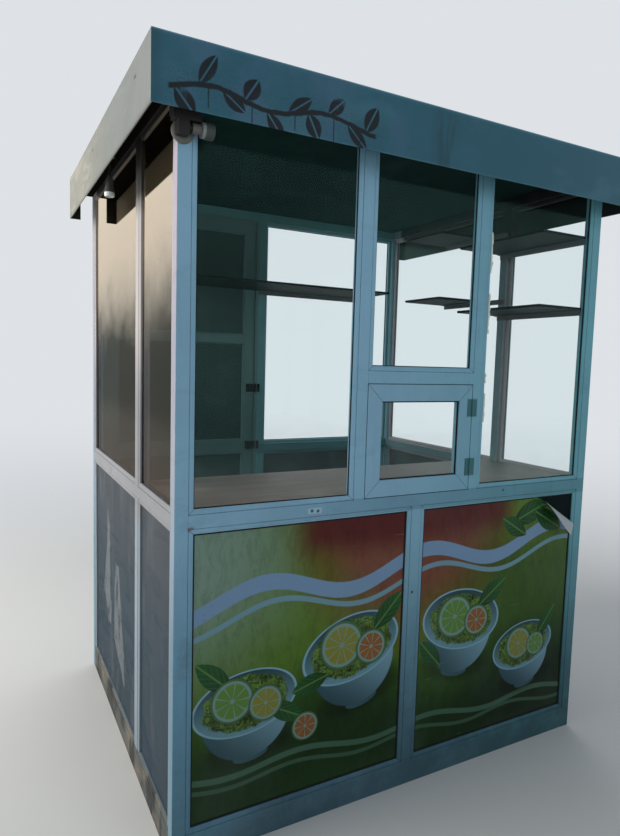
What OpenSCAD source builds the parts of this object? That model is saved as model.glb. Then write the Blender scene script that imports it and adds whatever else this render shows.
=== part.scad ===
// Street kiosk: a glazed aluminium sales booth with a flat overhanging roof.
// Millimetres. X to the right along the serving front, Y from front to back, Z up.
// The origin lies on the ground at the middle of the whole outline.

/* [Walls] */
// Width over the corner posts, left to right
wall_w = 1680; // [1600:10:2000]
// Depth over the corner posts, front to back
wall_d = 1370; // [1300:10:1700]
// Height of the posts, from the ground to the ceiling
wall_h = 2231; // [2181:10:2431]
// Height of the bottom rail, which stands on the ground
bottom_rail_h = 86; // [60:1:110]
// Height of the underside of the waist rail
waist_z = 1004; // [950:1:1050]

/* [Aluminium section] */
// Side of the square section of posts, rails and mullions
section = 40; // [36:1:44]
// Wall of the hollow section
section_wall = 1.6; // [1.2:0.1:2.5]
// Rounding of the section's edges
section_round = 1.5; // [1:0.1:2.5]
// Width of a glazing bead, seen from the front
bead_face = 16; // [12:1:18]
// Depth of the glass face behind the outer plane of the wall
rebate = 10; // [8:1:12]
// Thickness of the glass
glass_t = 5; // [4:1:6]
// Thickness of the boards in the lower bays
panel_t = 4; // [3:1:6]
// How far glass and boards reach behind the bead
edge_cover = 10; // [8:1:12]
// Hairline left open where two bars meet in a mitre
mitre_gap = 0.3; // [0.2:0.1:0.6]
// Width of the shadow line between a bead and the section that it clips into
seam_w = 1.2; // [0.6:0.1:2]
// Depth of that line
seam_d = 3; // [1:0.5:4]

/* [Bays] */
// Clear width of the left upper bay of the front
left_bay_w = 544; // [480:2:600]
// Clear width of the serving bay of the front
serving_bay_w = 442; // [400:2:480]
// Clear height of the serving opening
serving_h = 375; // [300:5:450]
// Clear length of the foremost bay of each side wall
side_bay_l = 405; // [350:5:500]

/* [Serving sash] */
// Face width of the sash frame
sash_face = 56; // [50:1:60]
// Depth of the sash frame
sash_d = 30; // [26:1:36]
// Play between the sash and its opening
sash_play = 2; // [1:0.5:3]
// Width of the black gasket around the sash glass
gasket_face = 4; // [3:0.5:5]
// Thickness of that gasket
gasket_t = 4; // [3:0.5:5]
// Depth of the groove that holds the sash glass
groove_d = 12; // [10:1:15]
// Height of each sash hinge
sash_hinge_h = 61; // [50:1:70]
// Width of each sash hinge, opened out flat
sash_hinge_w = 42; // [36:1:48]
// Distance from the sash hinge's outer end to the end of the sash
sash_hinge_inset = 50; // [40:1:70]

/* [Door] */
// Clear width of the doorway
door_opening_w = 770; // [700:5:800]
// Play between the leaf and its frame
door_play = 6; // [5.5:0.5:8]
// Play between the leaf and its frame at the hinges
hinge_play = 5; // [4.5:0.5:7]
// Face width of the stiles and rails of the leaf
stile_w = 60; // [54:1:66]
// Thickness of the leaf
leaf_t = 28; // [26:1:29]
// Height of the bottom rail of the leaf
kick_rail_h = 100; // [80:1:130]
// Distance from the head rail down to the underside of the upper cross rail
cross_rail_drop = 619; // [530:1:680]
// Height of the slim upper cross rail itself
cross_rail_h = 36; // [30:1:45]
// Width of the small bead round each door board
door_bead = 10; // [8:1:12]
// Thickness of the stop strip that the leaf closes against
stop_t = 5; // [4:0.5:5]
// Reach of the stop strip into the doorway
stop_reach = 14; // [12:0.5:16]
// Height of each lock's middle above the underside of the waist rail
lock_rise = [38, 336];
// Height of each black lock case
lock_h = 41; // [36:1:46]
// Width of each black lock case
lock_w = 46; // [40:1:48]
// How far a lock case stands off the leaf
lock_d = 20; // [16:1:24]
// Distance from the edge of the leaf to a lock case
lock_inset = 4; // [2:0.5:8]
// Distance from the end of the leaf to its outer hinges
door_hinge_inset = 180; // [120:5:250]
// Width of each leaf of a door hinge
hinge_leaf_w = 34; // [28:1:40]
// Thickness of each leaf of a door hinge
hinge_leaf_t = 4; // [3:0.5:5]
// Radius of the door hinge knuckle
knuckle_r = 6; // [5:0.5:7]
// Height of one knuckle
knuckle_h = 45; // [35:1:60]

/* [Roof] */
// Overhang of the fascia beyond the front and side walls
overhang = 92; // [60:1:140]
// Reach of the roof behind the rear wall
rear_tail = 30; // [26:1:60]
// Height of the fascia
fascia_h = 172; // [160:1:220]
// How far the fascia hangs below the ceiling
fascia_drop = 133; // [110:1:136]
// Thickness of the fascia sheet
fascia_t = 3; // [2:0.5:4]
// Width of the folded end of the side fascias at the rear
fascia_return = 45; // [30:1:60]
// Distance from the ceiling down to the soffit under the overhang
soffit_drop = 31; // [24:1:40]
// Thickness of the soffit board
soffit_t = 6; // [4:1:9]
// Thickness of the ceiling board
ceiling_t = 9; // [6:1:12]
// Width of the roof bearers in the overhang
bearer_w = 25; // [18:1:30]
// Width of the purlins under the roof sheet
purlin_w = 25; // [18:1:40]
// Height of the purlin under the front edge of the roof sheet
front_purlin_h = 14; // [10:1:16]
// Height of the purlin under the rear edge of the roof sheet
rear_purlin_h = 5; // [4:1:8]
// Height of the ribs of the roof sheet
rib_h = 15; // [10:1:16]
// Number of ribs across the roof sheet
rib_count = 10; // [8:1:12]
// Thickness of the roof sheet
sheet_t = 1; // [0.8:0.1:1.5]

/* [Inside] */
// Thickness of the floor deck
deck_t = 18; // [12:1:22]
// Height of the floor joists
joist_h = 60; // [50:1:64]
// Depth of the counter from the front wall
counter_d = 470; // [400:5:550]
// Thickness of the counter board
counter_t = 18; // [15:1:25]
// Height of the counter's upper face above the waist rail
counter_rise = 6; // [2:1:12]
// Side of the battens under the counter
batten = 40; // [30:1:50]
// Thickness of the shelves
shelf_t = 10; // [8:1:16]
// Depth of the shelves on the right wall
shelf_d = 240; // [180:5:280]
// Distances from the ceiling down to the two shelves in the front bay of the right wall
front_shelf_drop = [516, 241];
// Distances from the ceiling down to the two short shelves in the rear bay of the right wall
middle_shelf_drop = [443, 148];
// Length of the short shelves
middle_shelf_l = 256; // [200:2:300]
// Distance from the side mullion to the short shelves
middle_shelf_gap = 128; // [80:2:150]
// Distance from the ceiling down to the shelf at the rear wall
rear_shelf_drop = 391; // [330:1:410]
// Depth of the shelf at the rear wall
rear_shelf_d = 320; // [250:5:360]
// Leg of the angles that carry the shelves
ledger = 20; // [16:1:25]
// Thickness of those angles
ledger_t = 3; // [2:0.5:4]

/* [Lamps] */
// Distance from the ceiling down to the corner lamp
corner_lamp_drop = 154; // [150:1:160]
// Length of the dark collar behind a lamp holder's neck
collar_l = 9; // [5:1:12]
// Radius of that collar
collar_r = 9; // [6:0.5:11]
// Radius of the neck
neck_r = 13.5; // [12:0.5:15]
// Length of the corner lamp holder's neck
corner_neck_l = 25; // [24:1:30]
// Length of the side lamp holder's neck
side_neck_l = 30; // [24:1:40]
// Length of the skirt round a lamp holder's mouth
skirt_l = 33; // [28:1:38]
// Radius of the corner lamp holder's skirt
corner_skirt_r = 22.5; // [20:0.5:24]
// Radius of the side lamp holder's skirt
side_skirt_r = 17.5; // [17:0.5:22]
// Radius of the round rose behind the corner lamp
rose_r = 31; // [28:1:34]
// Thickness of that rose
rose_t = 12; // [10:1:14]
// Distance of the side lamp behind the front wall
side_lamp_y = 700; // [600:10:1000]
// Length of the tube that the side lamp hangs on
side_stem_l = 64; // [40:1:80]
// Radius of that tube
side_stem_r = 6; // [4:0.5:8]

/* [Hidden] */
$fn = 32;

// The front plane of the walls lies forward of the origin by half the whole depth
total_d = overhang + wall_d + rear_tail;
front_y = -total_d / 2 + overhang;
rear_y = front_y + wall_d;
roof_front_y = front_y - overhang;
roof_rear_y = rear_y + rear_tail;
roof_half_w = wall_w / 2 + overhang;

waist_top = waist_z + section;
counter_z = waist_top + counter_rise;
head_z = wall_h - section;
transom_z = waist_top + serving_h;
transom_top = transom_z + section;
far_post_x = wall_w - section;
far_post_y = wall_d - section;

// Mullions of the front, each given by its left edge
mullion_x = [section + left_bay_w, 2 * section + left_bay_w + serving_bay_w];
centre_mullion_x = (wall_w - section) / 2;
side_mullion_y = section + side_bay_l;
jamb_x = section + door_opening_w;
window_x = jamb_x + section;

lock_z = [for (z = lock_rise) waist_z + z];
cross_rail_z = head_z - cross_rail_drop;
front_shelf_z = [for (z = front_shelf_drop) wall_h - z];
middle_shelf_z = [for (z = middle_shelf_drop) wall_h - z];
rear_shelf_z = wall_h - rear_shelf_drop;
corner_lamp_z = wall_h - corner_lamp_drop;

fascia_z = wall_h - fascia_drop;
soffit_z = wall_h - soffit_drop;
purlin_z = wall_h + ceiling_t;

module on_front() translate([-wall_w / 2, front_y, 0]) children();
module on_rear() translate([-wall_w / 2, rear_y, 0]) mirror([0, 1, 0]) children();
module on_left() translate([-wall_w / 2, front_y, 0]) mirror([1, -1, 0]) children();
module on_right() mirror([1, 0, 0]) on_left() children();

// Rectangle with one corner at the origin and rounded corners
module round_rect(w, h, r) {
    translate([r, 0]) square([w - 2 * r, h]);
    translate([0, r]) square([w, h - 2 * r]);
    for (x = [r, w - r], y = [r, h - r]) translate([x, y]) circle(r);
}

// Hollow section of the frame members
module tube_2d(w, h) {
    difference() {
        round_rect(w, h, section_round);
        translate([section_wall, section_wall])
            square([w - 2 * section_wall, h - 2 * section_wall]);
    }
}

// Extrudes a (depth, height) profile along the wall
module along(x0, x1, z0) {
    translate([x0, 0, z0]) rotate([90, 0, 90]) linear_extrude(x1 - x0) children();
}

module rail(x0, x1, z0, h = section) {
    along(x0, x1, z0) tube_2d(section, h);
}

module upright(x0, z0, z1) {
    translate([x0, 0, z0]) linear_extrude(z1 - z0) tube_2d(section, section);
}

module slab(x0, x1, y0, y1, z0, z1) {
    translate([x0, y0, z0]) cube([x1 - x0, y1 - y0, z1 - z0]);
}

// One mitred bar along X: its (depth, across) profile is the child
module mitred_bar(len, face) {
    intersection() {
        rotate([90, 0, 90]) linear_extrude(len) children();
        translate([0, section, 0]) rotate([90, 0, 0]) linear_extrude(2 * section)
            polygon([[mitre_gap, 0], [len - mitre_gap, 0],
                     [len - mitre_gap - face, face], [mitre_gap + face, face]]);
    }
}

// Four mitred bars around a rectangle w by h, lying in the plane of the wall
module mitred_frame(w, h, face) {
    mitred_bar(w, face) children();
    translate([0, 0, h]) mirror([0, 0, 1]) mitred_bar(w, face) children();
    mirror([1, 0, -1]) mitred_bar(h, face) children();
    translate([w, 0, 0]) mirror([1, 0, 0]) mirror([1, 0, -1]) mitred_bar(h, face) children();
}

// Outer bead: a shadow line, a flat set back a little from the wall, a slope down to the glass
bead_back = 1.5;

module bead_2d() {
    polygon([[bead_back + seam_d, 0], [bead_back + seam_d, seam_w], [bead_back, seam_w],
             [bead_back, bead_face * 0.55], [rebate * 0.45, bead_face],
             [rebate, bead_face], [rebate, 0]]);
}

// Inner stop behind the glass or board
module stop_2d(t) {
    back = section - bead_face;
    polygon([[rebate + t, 0], [rebate + t, bead_face], [back - 2 * bead_back, bead_face],
             [back, bead_face * 0.6], [back, 0]]);
}

// Bead and stop around one clear opening between frame members
module bay_beads(x0, z0, w, h, t) {
    translate([x0, 0, z0]) {
        mitred_frame(w, h, bead_face) bead_2d();
        mitred_frame(w, h, bead_face) stop_2d(t);
    }
}

// Sheet that fills one clear opening, with its edges behind the bead
module bay_sheet(x0, z0, w, h, t) {
    inset = bead_face - edge_cover;
    slab(x0 + inset, x0 + w - inset, rebate, rebate + t, z0 + inset, z0 + h - inset);
}

// Clear openings of each wall as [x, z, width, height]
upper_h = head_z - waist_top;
lower_h = waist_z - bottom_rail_h;
right_bay_x = mullion_x[1] + section;
front_upper = [
    [section, waist_top, left_bay_w, upper_h],
    [mullion_x[0] + section, transom_top, serving_bay_w, head_z - transom_top],
    [right_bay_x, waist_top, far_post_x - right_bay_x, upper_h]
];
front_lower = [
    [section, bottom_rail_h, centre_mullion_x - section, lower_h],
    [centre_mullion_x + section, bottom_rail_h, far_post_x - centre_mullion_x - section, lower_h]
];
side_rear_x = side_mullion_y + section;
side_bays = [[section, side_bay_l], [side_rear_x, far_post_y - side_rear_x]];
rear_upper = [window_x, waist_top, far_post_x - window_x, upper_h];
rear_lower = [window_x, bottom_rail_h, far_post_x - window_x, lower_h];

module sheets(bays, t) {
    for (b = bays) bay_sheet(b[0], b[1], b[2], b[3], t);
}

module beads(bays, t) {
    for (b = bays) bay_beads(b[0], b[1], b[2], b[3], t);
}

module side_sheets(z0, h, t) {
    for (b = side_bays) bay_sheet(b[0], z0, b[1], h, t);
}

module side_beads() {
    for (b = side_bays) {
        bay_beads(b[0], waist_top, b[1], upper_h, glass_t);
        bay_beads(b[0], bottom_rail_h, b[1], lower_h, panel_t);
    }
}

module post() {
    linear_extrude(wall_h) tube_2d(section, section);
}

module front_left_post() {
    color("lightblue") on_front() post();
}

module front_right_post() {
    color("lightblue") on_front() translate([far_post_x, 0, 0]) post();
}

module rear_left_post() {
    color("lightblue") on_rear() post();
}

module rear_right_post() {
    color("lightblue") on_rear() translate([far_post_x, 0, 0]) post();
}

module front_rails() {
    color("lightblue") on_front() {
        rail(section, far_post_x, 0, bottom_rail_h);
        rail(section, far_post_x, waist_z);
        rail(section, far_post_x, head_z);
        rail(mullion_x[0] + section, mullion_x[1], transom_z);
    }
}

module side_rails() {
    rail(section, far_post_y, 0, bottom_rail_h);
    rail(section, far_post_y, waist_z);
    rail(section, far_post_y, head_z);
}

module left_rails() {
    color("mistyrose") on_left() side_rails();
}

module right_rails() {
    color("mistyrose") on_right() side_rails();
}

module rear_rails() {
    color("lightblue") on_rear() {
        rail(section, far_post_x, 0, bottom_rail_h);
        rail(window_x, far_post_x, waist_z);
        rail(section, far_post_x, head_z);
    }
}

module front_mullions() {
    color("lightblue") on_front() {
        for (x = mullion_x) upright(x, waist_top, head_z);
        upright(centre_mullion_x, bottom_rail_h, waist_z);
    }
}

module side_mullions() {
    upright(side_mullion_y, waist_top, head_z);
    upright(side_mullion_y, bottom_rail_h, waist_z);
}

module left_mullions() {
    color("mistyrose") on_left() side_mullions();
}

module right_mullions() {
    color("mistyrose") on_right() side_mullions();
}

module door_jamb() {
    color("lightblue") on_rear() upright(jamb_x, bottom_rail_h, head_z);
}

module front_glass() {
    color("powderblue", 0.4) on_front() sheets(front_upper, glass_t);
}

module left_glass() {
    color("powderblue", 0.4) on_left() side_sheets(waist_top, upper_h, glass_t);
}

module right_glass() {
    color("powderblue", 0.4) on_right() side_sheets(waist_top, upper_h, glass_t);
}

module rear_glass() {
    color("powderblue", 0.4) on_rear() sheets([rear_upper], glass_t);
}

module front_beads() {
    color("lightblue") on_front() {
        beads(front_upper, glass_t);
        beads(front_lower, panel_t);
    }
}

module left_beads() {
    color("mistyrose") on_left() side_beads();
}

module right_beads() {
    color("mistyrose") on_right() side_beads();
}

module rear_beads() {
    color("lightblue") on_rear() {
        beads([rear_upper], glass_t);
        beads([rear_lower], panel_t);
    }
}

module front_panels() {
    color("yellowgreen") on_front() sheets(front_lower, panel_t);
}

module left_panels() {
    color("lightsteelblue") on_left() side_sheets(bottom_rail_h, lower_h, panel_t);
}

module right_panels() {
    color("lightsteelblue") on_right() side_sheets(bottom_rail_h, lower_h, panel_t);
}

module rear_panel() {
    color("lightsteelblue") on_rear() sheets([rear_lower], panel_t);
}

// Serving sash, hinged at its right edge and shut
sash_x = mullion_x[0] + section + sash_play;
sash_z = waist_top + sash_play;
sash_w = serving_bay_w - 2 * sash_play;
sash_h = serving_h - 2 * sash_play;
sash_inset = sash_face - groove_d;

// Hollow sash bar with the groove for glass and gasket along its inner edge
module sash_bar_2d() {
    difference() {
        round_rect(sash_d, sash_face, section_round);
        translate([rebate - gasket_t, sash_inset]) square([glass_t + gasket_t, sash_face]);
        translate([section_wall, section_wall])
            square([sash_d - 2 * section_wall, sash_inset - 2 * section_wall]);
    }
}

module serving_sash() {
    color("lightblue") on_front() translate([sash_x, 0, sash_z])
        mitred_frame(sash_w, sash_h, sash_face) sash_bar_2d();
}

module sash_glass() {
    color("powderblue", 0.4) on_front()
        slab(sash_x + sash_inset, sash_x + sash_w - sash_inset, rebate, rebate + glass_t,
             sash_z + sash_inset, sash_z + sash_h - sash_inset);
}

// Ring of black rubber in front of the sash glass
module sash_gasket() {
    w = sash_w - 2 * sash_inset;
    h = sash_h - 2 * sash_inset;
    reach = groove_d + gasket_face;
    color("black") on_front() translate([sash_x + sash_inset, 0, sash_z + sash_inset])
        difference() {
            slab(0, w, rebate - gasket_t, rebate, 0, h);
            slab(reach, w - reach, 0, section, reach, h - reach);
        }
}

module sash_hinges() {
    barrel_r = 4;
    plate_t = barrel_r / 2;
    leaf_half = sash_hinge_w / 2;
    axis_x = sash_x + sash_w + sash_play / 2;
    color("slategray") on_front()
        for (z = [sash_z + sash_hinge_inset, sash_z + sash_h - sash_hinge_inset - sash_hinge_h]) {
            translate([axis_x, -barrel_r, z]) cylinder(h = sash_hinge_h, r = barrel_r);
            slab(axis_x - leaf_half, axis_x + leaf_half, -plate_t, 0, z, z + sash_hinge_h);
        }
}

// Door leaf, shut in the doorway of the rear wall
leaf_x0 = section + hinge_play;
leaf_x1 = jamb_x - door_play;
leaf_z0 = bottom_rail_h + door_play;
leaf_z1 = head_z - door_play;
leaf_y = 2;
board_x0 = leaf_x0 + stile_w;
board_x1 = leaf_x1 - stile_w;
door_bays = [
    [leaf_z0 + kick_rail_h, waist_z],
    [waist_z + stile_w, cross_rail_z],
    [cross_rail_z + cross_rail_h, leaf_z1 - stile_w]
];

module door_stiles() {
    color("lightblue") on_rear() for (x = [leaf_x0, board_x1]) translate([x, leaf_y, leaf_z0])
        linear_extrude(leaf_z1 - leaf_z0) tube_2d(stile_w, leaf_t);
}

module door_rails() {
    color("lightblue") on_rear() translate([0, leaf_y, 0]) {
        along(board_x0, board_x1, leaf_z0) tube_2d(leaf_t, kick_rail_h);
        along(board_x0, board_x1, waist_z) tube_2d(leaf_t, stile_w);
        along(board_x0, board_x1, cross_rail_z) tube_2d(leaf_t, cross_rail_h);
        along(board_x0, board_x1, leaf_z1 - stile_w) tube_2d(leaf_t, stile_w);
    }
}

module door_boards() {
    mid = leaf_y + leaf_t / 2;
    color("darkslategray") on_rear()
        for (b = door_bays) slab(board_x0, board_x1, mid - panel_t / 2, mid + panel_t / 2, b[0], b[1]);
}

// Small beads on both faces of each door board
module door_beads() {
    mid = leaf_t / 2;
    color("lightblue") on_rear() for (b = door_bays) translate([board_x0, leaf_y + mid, b[0]])
        for (side = [0, 1]) mirror([0, side, 0])
            mitred_frame(board_x1 - board_x0, b[1] - b[0], door_bead)
                polygon([[panel_t / 2, 0], [panel_t / 2, door_bead], [mid - door_bead / 2, door_bead],
                         [mid - bead_back, door_bead / 2], [mid - bead_back, 0]]);
}

// Lock cases on the inner face of the leaf, at its free edge
lock_x1 = leaf_x1 - lock_inset;

module door_locks() {
    color("black") on_rear() for (z = lock_z)
        slab(lock_x1 - lock_w, lock_x1, leaf_y + leaf_t, leaf_y + leaf_t + lock_d,
             z - lock_h / 2, z + lock_h / 2);
}

module lock_keeps() {
    keep_x = jamb_x + section_round;
    keep_w = lock_w / 4;
    color("black") on_rear() for (z = lock_z)
        slab(keep_x, keep_x + keep_w, section, section + lock_d / 2, z - lock_h / 2, z + lock_h / 2);
}

// Strip round three sides of the doorway that the leaf closes against
module door_stop() {
    y0 = section - stop_t;
    z1 = head_z - stop_reach - mitre_gap;
    beyond = 1;
    color("lightblue") on_rear() {
        slab(section, section + stop_reach, y0, section, bottom_rail_h, z1);
        slab(section, jamb_x, y0, section, head_z - stop_reach, head_z);
        difference() {
            slab(jamb_x - stop_reach, jamb_x, y0, section, bottom_rail_h, z1);
            for (z = lock_z)
                slab(jamb_x - stop_reach - beyond, jamb_x + beyond, 0, 2 * section,
                     z - lock_h / 2 - door_play, z + lock_h / 2 + door_play);
        }
    }
}

// Lift-off hinges at the left edge of the door, outside the wall plane
hinge_x = section + hinge_play / 2;
hinge_zs = [leaf_z0 + door_hinge_inset, (leaf_z0 + leaf_z1) / 2,
            leaf_z1 - door_hinge_inset - 2 * knuckle_h];
pin_r = knuckle_r / 2;
pin_play = 0.1;
// Each upper knuckle is closed at its top, and clear of the lower one by a hairline
knuckle_cap = knuckle_r;
knuckle_gap = 0.5;

module door_hinges() {
    color("silver") on_rear() for (z = hinge_zs) {
        difference() {
            union() {
                translate([hinge_x, -knuckle_r, z + knuckle_h]) cylinder(h = knuckle_h, r = knuckle_r);
                slab(hinge_x, hinge_x + hinge_leaf_w, leaf_y - hinge_leaf_t, leaf_y,
                     z + knuckle_h, z + 2 * knuckle_h);
            }
            translate([hinge_x, -knuckle_r, z + knuckle_h - knuckle_gap])
                cylinder(h = knuckle_h - knuckle_cap + knuckle_gap, r = pin_r + pin_play);
        }
    }
}

module hinge_pins() {
    color("silver") on_rear() for (z = hinge_zs) {
        translate([hinge_x, -knuckle_r, z]) cylinder(h = knuckle_h - knuckle_gap, r = knuckle_r);
        translate([hinge_x, -knuckle_r, z]) cylinder(h = 2 * knuckle_h - knuckle_cap - pin_r, r = pin_r);
        slab(hinge_x - hinge_leaf_w, hinge_x, -hinge_leaf_t, 0, z, z + knuckle_h - knuckle_gap);
    }
}

// Ceiling on the walls, which runs out over them to the fascia
module ceiling_board() {
    half = roof_half_w - fascia_t;
    color("dimgray") slab(-half, half, roof_front_y + fascia_t, rear_y, wall_h, wall_h + ceiling_t);
}

// Strip in the overhang, round the front and both sides, between two distances from the walls
module overhang_2d(near, far) {
    difference() {
        translate([-wall_w / 2 - far, front_y - far]) square([wall_w + 2 * far, wall_d + far]);
        translate([-wall_w / 2 - near, front_y - near])
            square([wall_w + 2 * near, wall_d + near + far]);
    }
}

overhang_clear = overhang - fascia_t;

module soffit_board() {
    color("dimgray") translate([0, 0, soffit_z]) linear_extrude(soffit_t)
        overhang_2d(0, overhang_clear);
}

// Battens between soffit and ceiling, along the walls and behind the fascia
module roof_bearers() {
    color("gray") translate([0, 0, soffit_z + soffit_t]) linear_extrude(soffit_drop - soffit_t) {
        overhang_2d(0, bearer_w);
        overhang_2d(overhang_clear - bearer_w, overhang_clear);
    }
}

// The roof falls gently from its front edge to its rear edge
sheet_y0 = roof_front_y + fascia_t;
sheet_y1 = roof_rear_y - fascia_t;
sheet_play = 0.1;
roof_fall = front_purlin_h - rear_purlin_h;
roof_angle = atan(roof_fall / (sheet_y1 - sheet_y0));
function roof_z(y) = purlin_z + front_purlin_h - roof_fall * (y - sheet_y0) / (sheet_y1 - sheet_y0);

module roof_purlins() {
    half = roof_half_w - fascia_t;
    w = purlin_w;
    color("burlywood") for (y = [sheet_y0, (sheet_y0 + rear_y - w) / 2, rear_y - w])
        along(-half, half, 0)
            polygon([[y, purlin_z], [y + w, purlin_z], [y + w, roof_z(y + w) - sheet_play],
                     [y, roof_z(y) - sheet_play]]);
}

// Ribbed sheet: flat pans with a trapezoid rib at every pitch
module roof_sheet() {
    half = roof_half_w - fascia_t - sheet_play;
    pitch = 2 * half / rib_count;
    crown = 22;
    foot = 46;
    edge = [for (i = [0:rib_count - 1]) let (c = -half + (i + 0.5) * pitch)
        each [[c - foot / 2, 0], [c - crown / 2, rib_h - sheet_t], [c + crown / 2, rib_h - sheet_t],
              [c + foot / 2, 0]]];
    lower = concat([[-half, 0]], edge, [[half, 0]]);
    upper = [for (i = [len(lower) - 1:-1:0]) lower[i] + [0, sheet_t]];
    color("darkgray") translate([0, sheet_y1, roof_z(sheet_y1)]) rotate([-roof_angle, 0, 0])
        rotate([90, 0, 0]) linear_extrude((sheet_y1 - sheet_y0) / cos(roof_angle))
            polygon(concat(lower, upper));
}

module front_fascia() {
    color("slategray")
        slab(-roof_half_w, roof_half_w, roof_front_y, roof_front_y + fascia_t,
             fascia_z, fascia_z + fascia_h);
}

// Side fascia: one sheet, folded inwards at its rear end
module side_fascia() {
    x0 = -roof_half_w;
    translate([0, 0, fascia_z]) linear_extrude(fascia_h)
        polygon([[x0, roof_front_y + fascia_t], [x0, roof_rear_y], [x0 + fascia_return, roof_rear_y],
                 [x0 + fascia_return, roof_rear_y - fascia_t], [x0 + fascia_t, roof_rear_y - fascia_t],
                 [x0 + fascia_t, roof_front_y + fascia_t]]);
}

module left_fascia() {
    color("lightgray") side_fascia();
}

module right_fascia() {
    color("lightgray") mirror([1, 0, 0]) side_fascia();
}

module floor_deck() {
    color("tan") on_front()
        slab(section, far_post_x, section, far_post_y, bottom_rail_h - deck_t, bottom_rail_h);
}

module floor_joists() {
    z1 = bottom_rail_h - deck_t;
    color("burlywood") on_front() for (i = [1:3]) let (x = section + i * (far_post_x - section) / 4)
        slab(x - section / 2, x + section / 2, section, far_post_y, z1 - joist_h, z1);
}

module counter_top() {
    color("tan") on_front()
        slab(section, far_post_x, section, section + counter_d, counter_z - counter_t, counter_z);
}

// Battens along the front and both side walls
module counter_battens() {
    z1 = counter_z - counter_t;
    color("burlywood") on_front() {
        slab(section, far_post_x, section, section + batten, z1 - batten, z1);
        for (x = [section, far_post_x - batten])
            slab(x, x + batten, section + batten + mitre_gap, section + counter_d - batten,
                 z1 - batten, z1);
    }
}

// The shelf at the rear wall ends on the line of the right shelves
rear_shelf_x1 = far_post_x - shelf_d;
// Shelves and angles lap this far over the post or mullion that carries them
lap = 12;
middle_shelf_x = side_rear_x + middle_shelf_gap;

module shelves() {
    color("dimgray") {
        on_right() {
            for (z = front_shelf_z)
                slab(section - lap, side_rear_x, section, section + shelf_d, z, z + shelf_t);
            for (z = middle_shelf_z)
                slab(middle_shelf_x, middle_shelf_x + middle_shelf_l, section, section + shelf_d,
                     z, z + shelf_t);
        }
        on_rear() slab(section, rear_shelf_x1, section + stop_t, section + stop_t + rear_shelf_d,
                       rear_shelf_z, rear_shelf_z + shelf_t);
    }
}

// Angle with its upper leg under the shelf, its other leg against the wall
module angle_2d() {
    square([ledger_t, ledger]);
    translate([0, ledger - ledger_t]) square([ledger, ledger_t]);
}

module shelf_angle(x0, x1, z) {
    translate([0, section, 0]) along(x0, x1, z - ledger) angle_2d();
}

module shelf_angles() {
    color("gray") {
        on_right() {
            for (z = front_shelf_z) shelf_angle(section - lap, side_rear_x, z);
            for (z = middle_shelf_z)
                shelf_angle(side_mullion_y, middle_shelf_x + middle_shelf_l - lap, z);
        }
        on_left() shelf_angle(side_mullion_y, far_post_y, rear_shelf_z);
        on_rear() shelf_angle(jamb_x, rear_shelf_x1, rear_shelf_z);
    }
}

// Lamp holder about its axis: collar, neck, then a skirt with a rim and a hollow mouth
module holder(neck_l, skirt_r) {
    wall = 3;
    rim = 8;
    rim_r = skirt_r - 2;
    shoulder = collar_l + neck_l;
    end = shoulder + skirt_l;
    rotate_extrude() polygon([[0, 0], [collar_r, 0], [collar_r, collar_l], [neck_r, collar_l],
        [neck_r, shoulder], [rim_r, shoulder], [rim_r, shoulder + rim], [skirt_r, shoulder + rim + wall],
        [skirt_r, end - wall], [rim_r, end], [rim_r - wall, end], [rim_r - wall, shoulder + wall],
        [0, shoulder + wall]]);
}

// Wooden pads on the front left post: a wide one, and a small one below it that carries the lamp
pad_d = 44;
pad_z = corner_lamp_z + neck_r + 1;
pad_h = 40;
pad_x = [-22, 51];
low_pad_h = 34;
low_pad_x = [-10, 20];
rose_x = 13;

// The wide pad stands in front of the rose and reaches back to the post above it
module lamp_block() {
    rose_top = corner_lamp_z + rose_r;
    color("saddlebrown") on_front() {
        slab(pad_x[0], pad_x[1], -pad_d, -rose_t, pad_z, pad_z + pad_h);
        slab(pad_x[0], pad_x[1], -rose_t, 0, rose_top, pad_z + pad_h);
        slab(low_pad_x[0], low_pad_x[1], -pad_d, -rose_t, pad_z - low_pad_h, pad_z);
    }
}

// Round rose against the post and a holder that points along the front
module corner_lamp() {
    bulge = 3;
    color("linen") on_front() {
        translate([rose_x, 0, corner_lamp_z - bulge]) rotate([90, 0, 0])
            rotate_extrude() polygon([[0, 0], [rose_r, 0], [rose_r, rose_t - 2 * bulge],
                [rose_r - bulge, rose_t - bulge], [rose_r - 3 * bulge, rose_t], [0, rose_t]]);
        translate([low_pad_x[1], -pad_d + neck_r, corner_lamp_z]) rotate([0, 90, 0])
            holder(corner_neck_l, corner_skirt_r);
    }
}

// Holder that hangs from the soffit on a short tube
module side_lamp() {
    base_h = 14;
    color("linen") translate([-wall_w / 2 - overhang / 2, front_y + side_lamp_y, soffit_z])
        mirror([0, 0, 1]) {
            cylinder(h = base_h, r = side_skirt_r);
            translate([0, 0, base_h]) cylinder(h = side_stem_l, r = side_stem_r);
            translate([0, 0, base_h + side_stem_l]) holder(side_neck_l, side_skirt_r);
        }
}

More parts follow.
